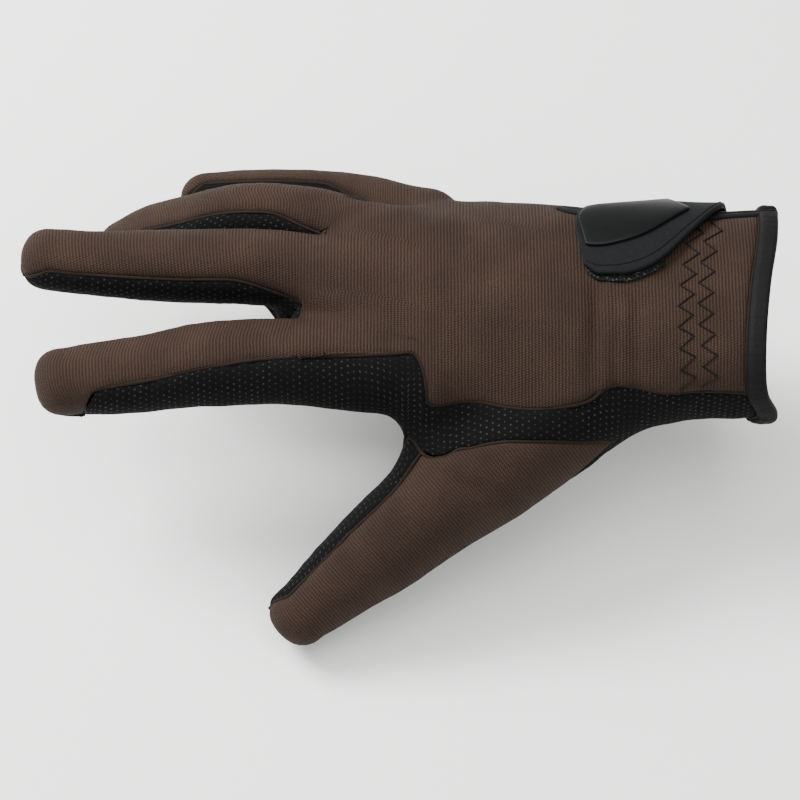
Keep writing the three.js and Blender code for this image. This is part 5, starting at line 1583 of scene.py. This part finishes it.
# Studio, in metres and watts: name, place, size and power of each lamp
LIGHT_AIM = (-0.1, 0, 0)
LIGHTS = [
    ("key", (-0.75, 0.35, 0.75), 0.5, 30),
    ("fill", (0.5, -0.9, 1.0), 1.2, 9),
    ("top", (-0.1, -0.1, 1.5), 1.2, 16),
]
FLOOR_HALF = 6.0
WORLD_STRENGTH = 0.75


@dataclass
class Studio:
    """Pale floor, soft light and the camera of the photograph."""

    floor_height: float = -56.5

    def camera(self) -> None:
        """Camera at the photograph's angle, its middle on the photograph's middle."""
        towards = Vector(VIEW_TOWARDS)
        across = (IMAGE_SIZE / 2 - ORIGIN_PIXEL[0]) * MM_PER_PIXEL
        above = (ORIGIN_PIXEL[1] - IMAGE_SIZE / 2) * MM_PER_PIXEL
        aim = Vector((across, 0, 0)) + Vector(VIEW_UP) * above
        data = bpy.data.cameras.new("camera")
        data.sensor_width = SENSOR
        data.lens = SENSOR * CAMERA_AWAY / (IMAGE_SIZE * MM_PER_PIXEL)
        data.clip_start = 0.01
        obj = linked("camera", data)
        obj.location = (aim + towards * CAMERA_AWAY) * MM
        obj.rotation_euler = towards.to_track_quat("Z", "Y").to_euler()
        bpy.context.scene.camera = obj

    def light(self, name: str, place: tuple, size: float, power: float) -> None:
        """One soft area light, aimed at the glove."""
        data = bpy.data.lights.new(name, "AREA")
        data.size = size
        data.energy = power
        obj = linked(name, data)
        obj.location = place
        obj.rotation_euler = (Vector(place) - Vector(LIGHT_AIM)).to_track_quat("Z", "Y").to_euler()

    def build(self) -> None:
        """Builds the floor, the lights and the camera."""
        mesh = bpy.data.meshes.new("floor")
        signs = ((-1, -1), (1, -1), (1, 1), (-1, 1))
        corners = [(x * FLOOR_HALF, y * FLOOR_HALF, self.floor_height * MM) for x, y in signs]
        mesh.from_pydata(corners, [], [(0, 1, 2, 3)])
        floor = linked("floor", mesh)
        n = Nodes("pale studio floor")
        n.shade(Base_Color=linear("f2f2f0"), Roughness=0.9)
        mesh.materials.append(n.material)
        for lamp in LIGHTS:
            self.light(*lamp)
        world = bpy.data.worlds.new("world")
        bpy.context.scene.world = world
        world.use_nodes = True
        world.node_tree.nodes["Background"].inputs[0].default_value = linear("ffffff")
        world.node_tree.nodes["Background"].inputs[1].default_value = WORLD_STRENGTH
        self.camera()


def main() -> None:
    """Builds the glove and its studio."""
    logging.basicConfig(level=logging.INFO, format="%(name)s: %(message)s")
    wardrobe = Wardrobe()
    for part in (Hand(wardrobe), Thumb(wardrobe), Cuff(wardrobe), Closure(wardrobe)):
        part.build()
        LOG.info("built %s", type(part).__name__)
    Studio().build()


if __name__ == "__main__":
    main()
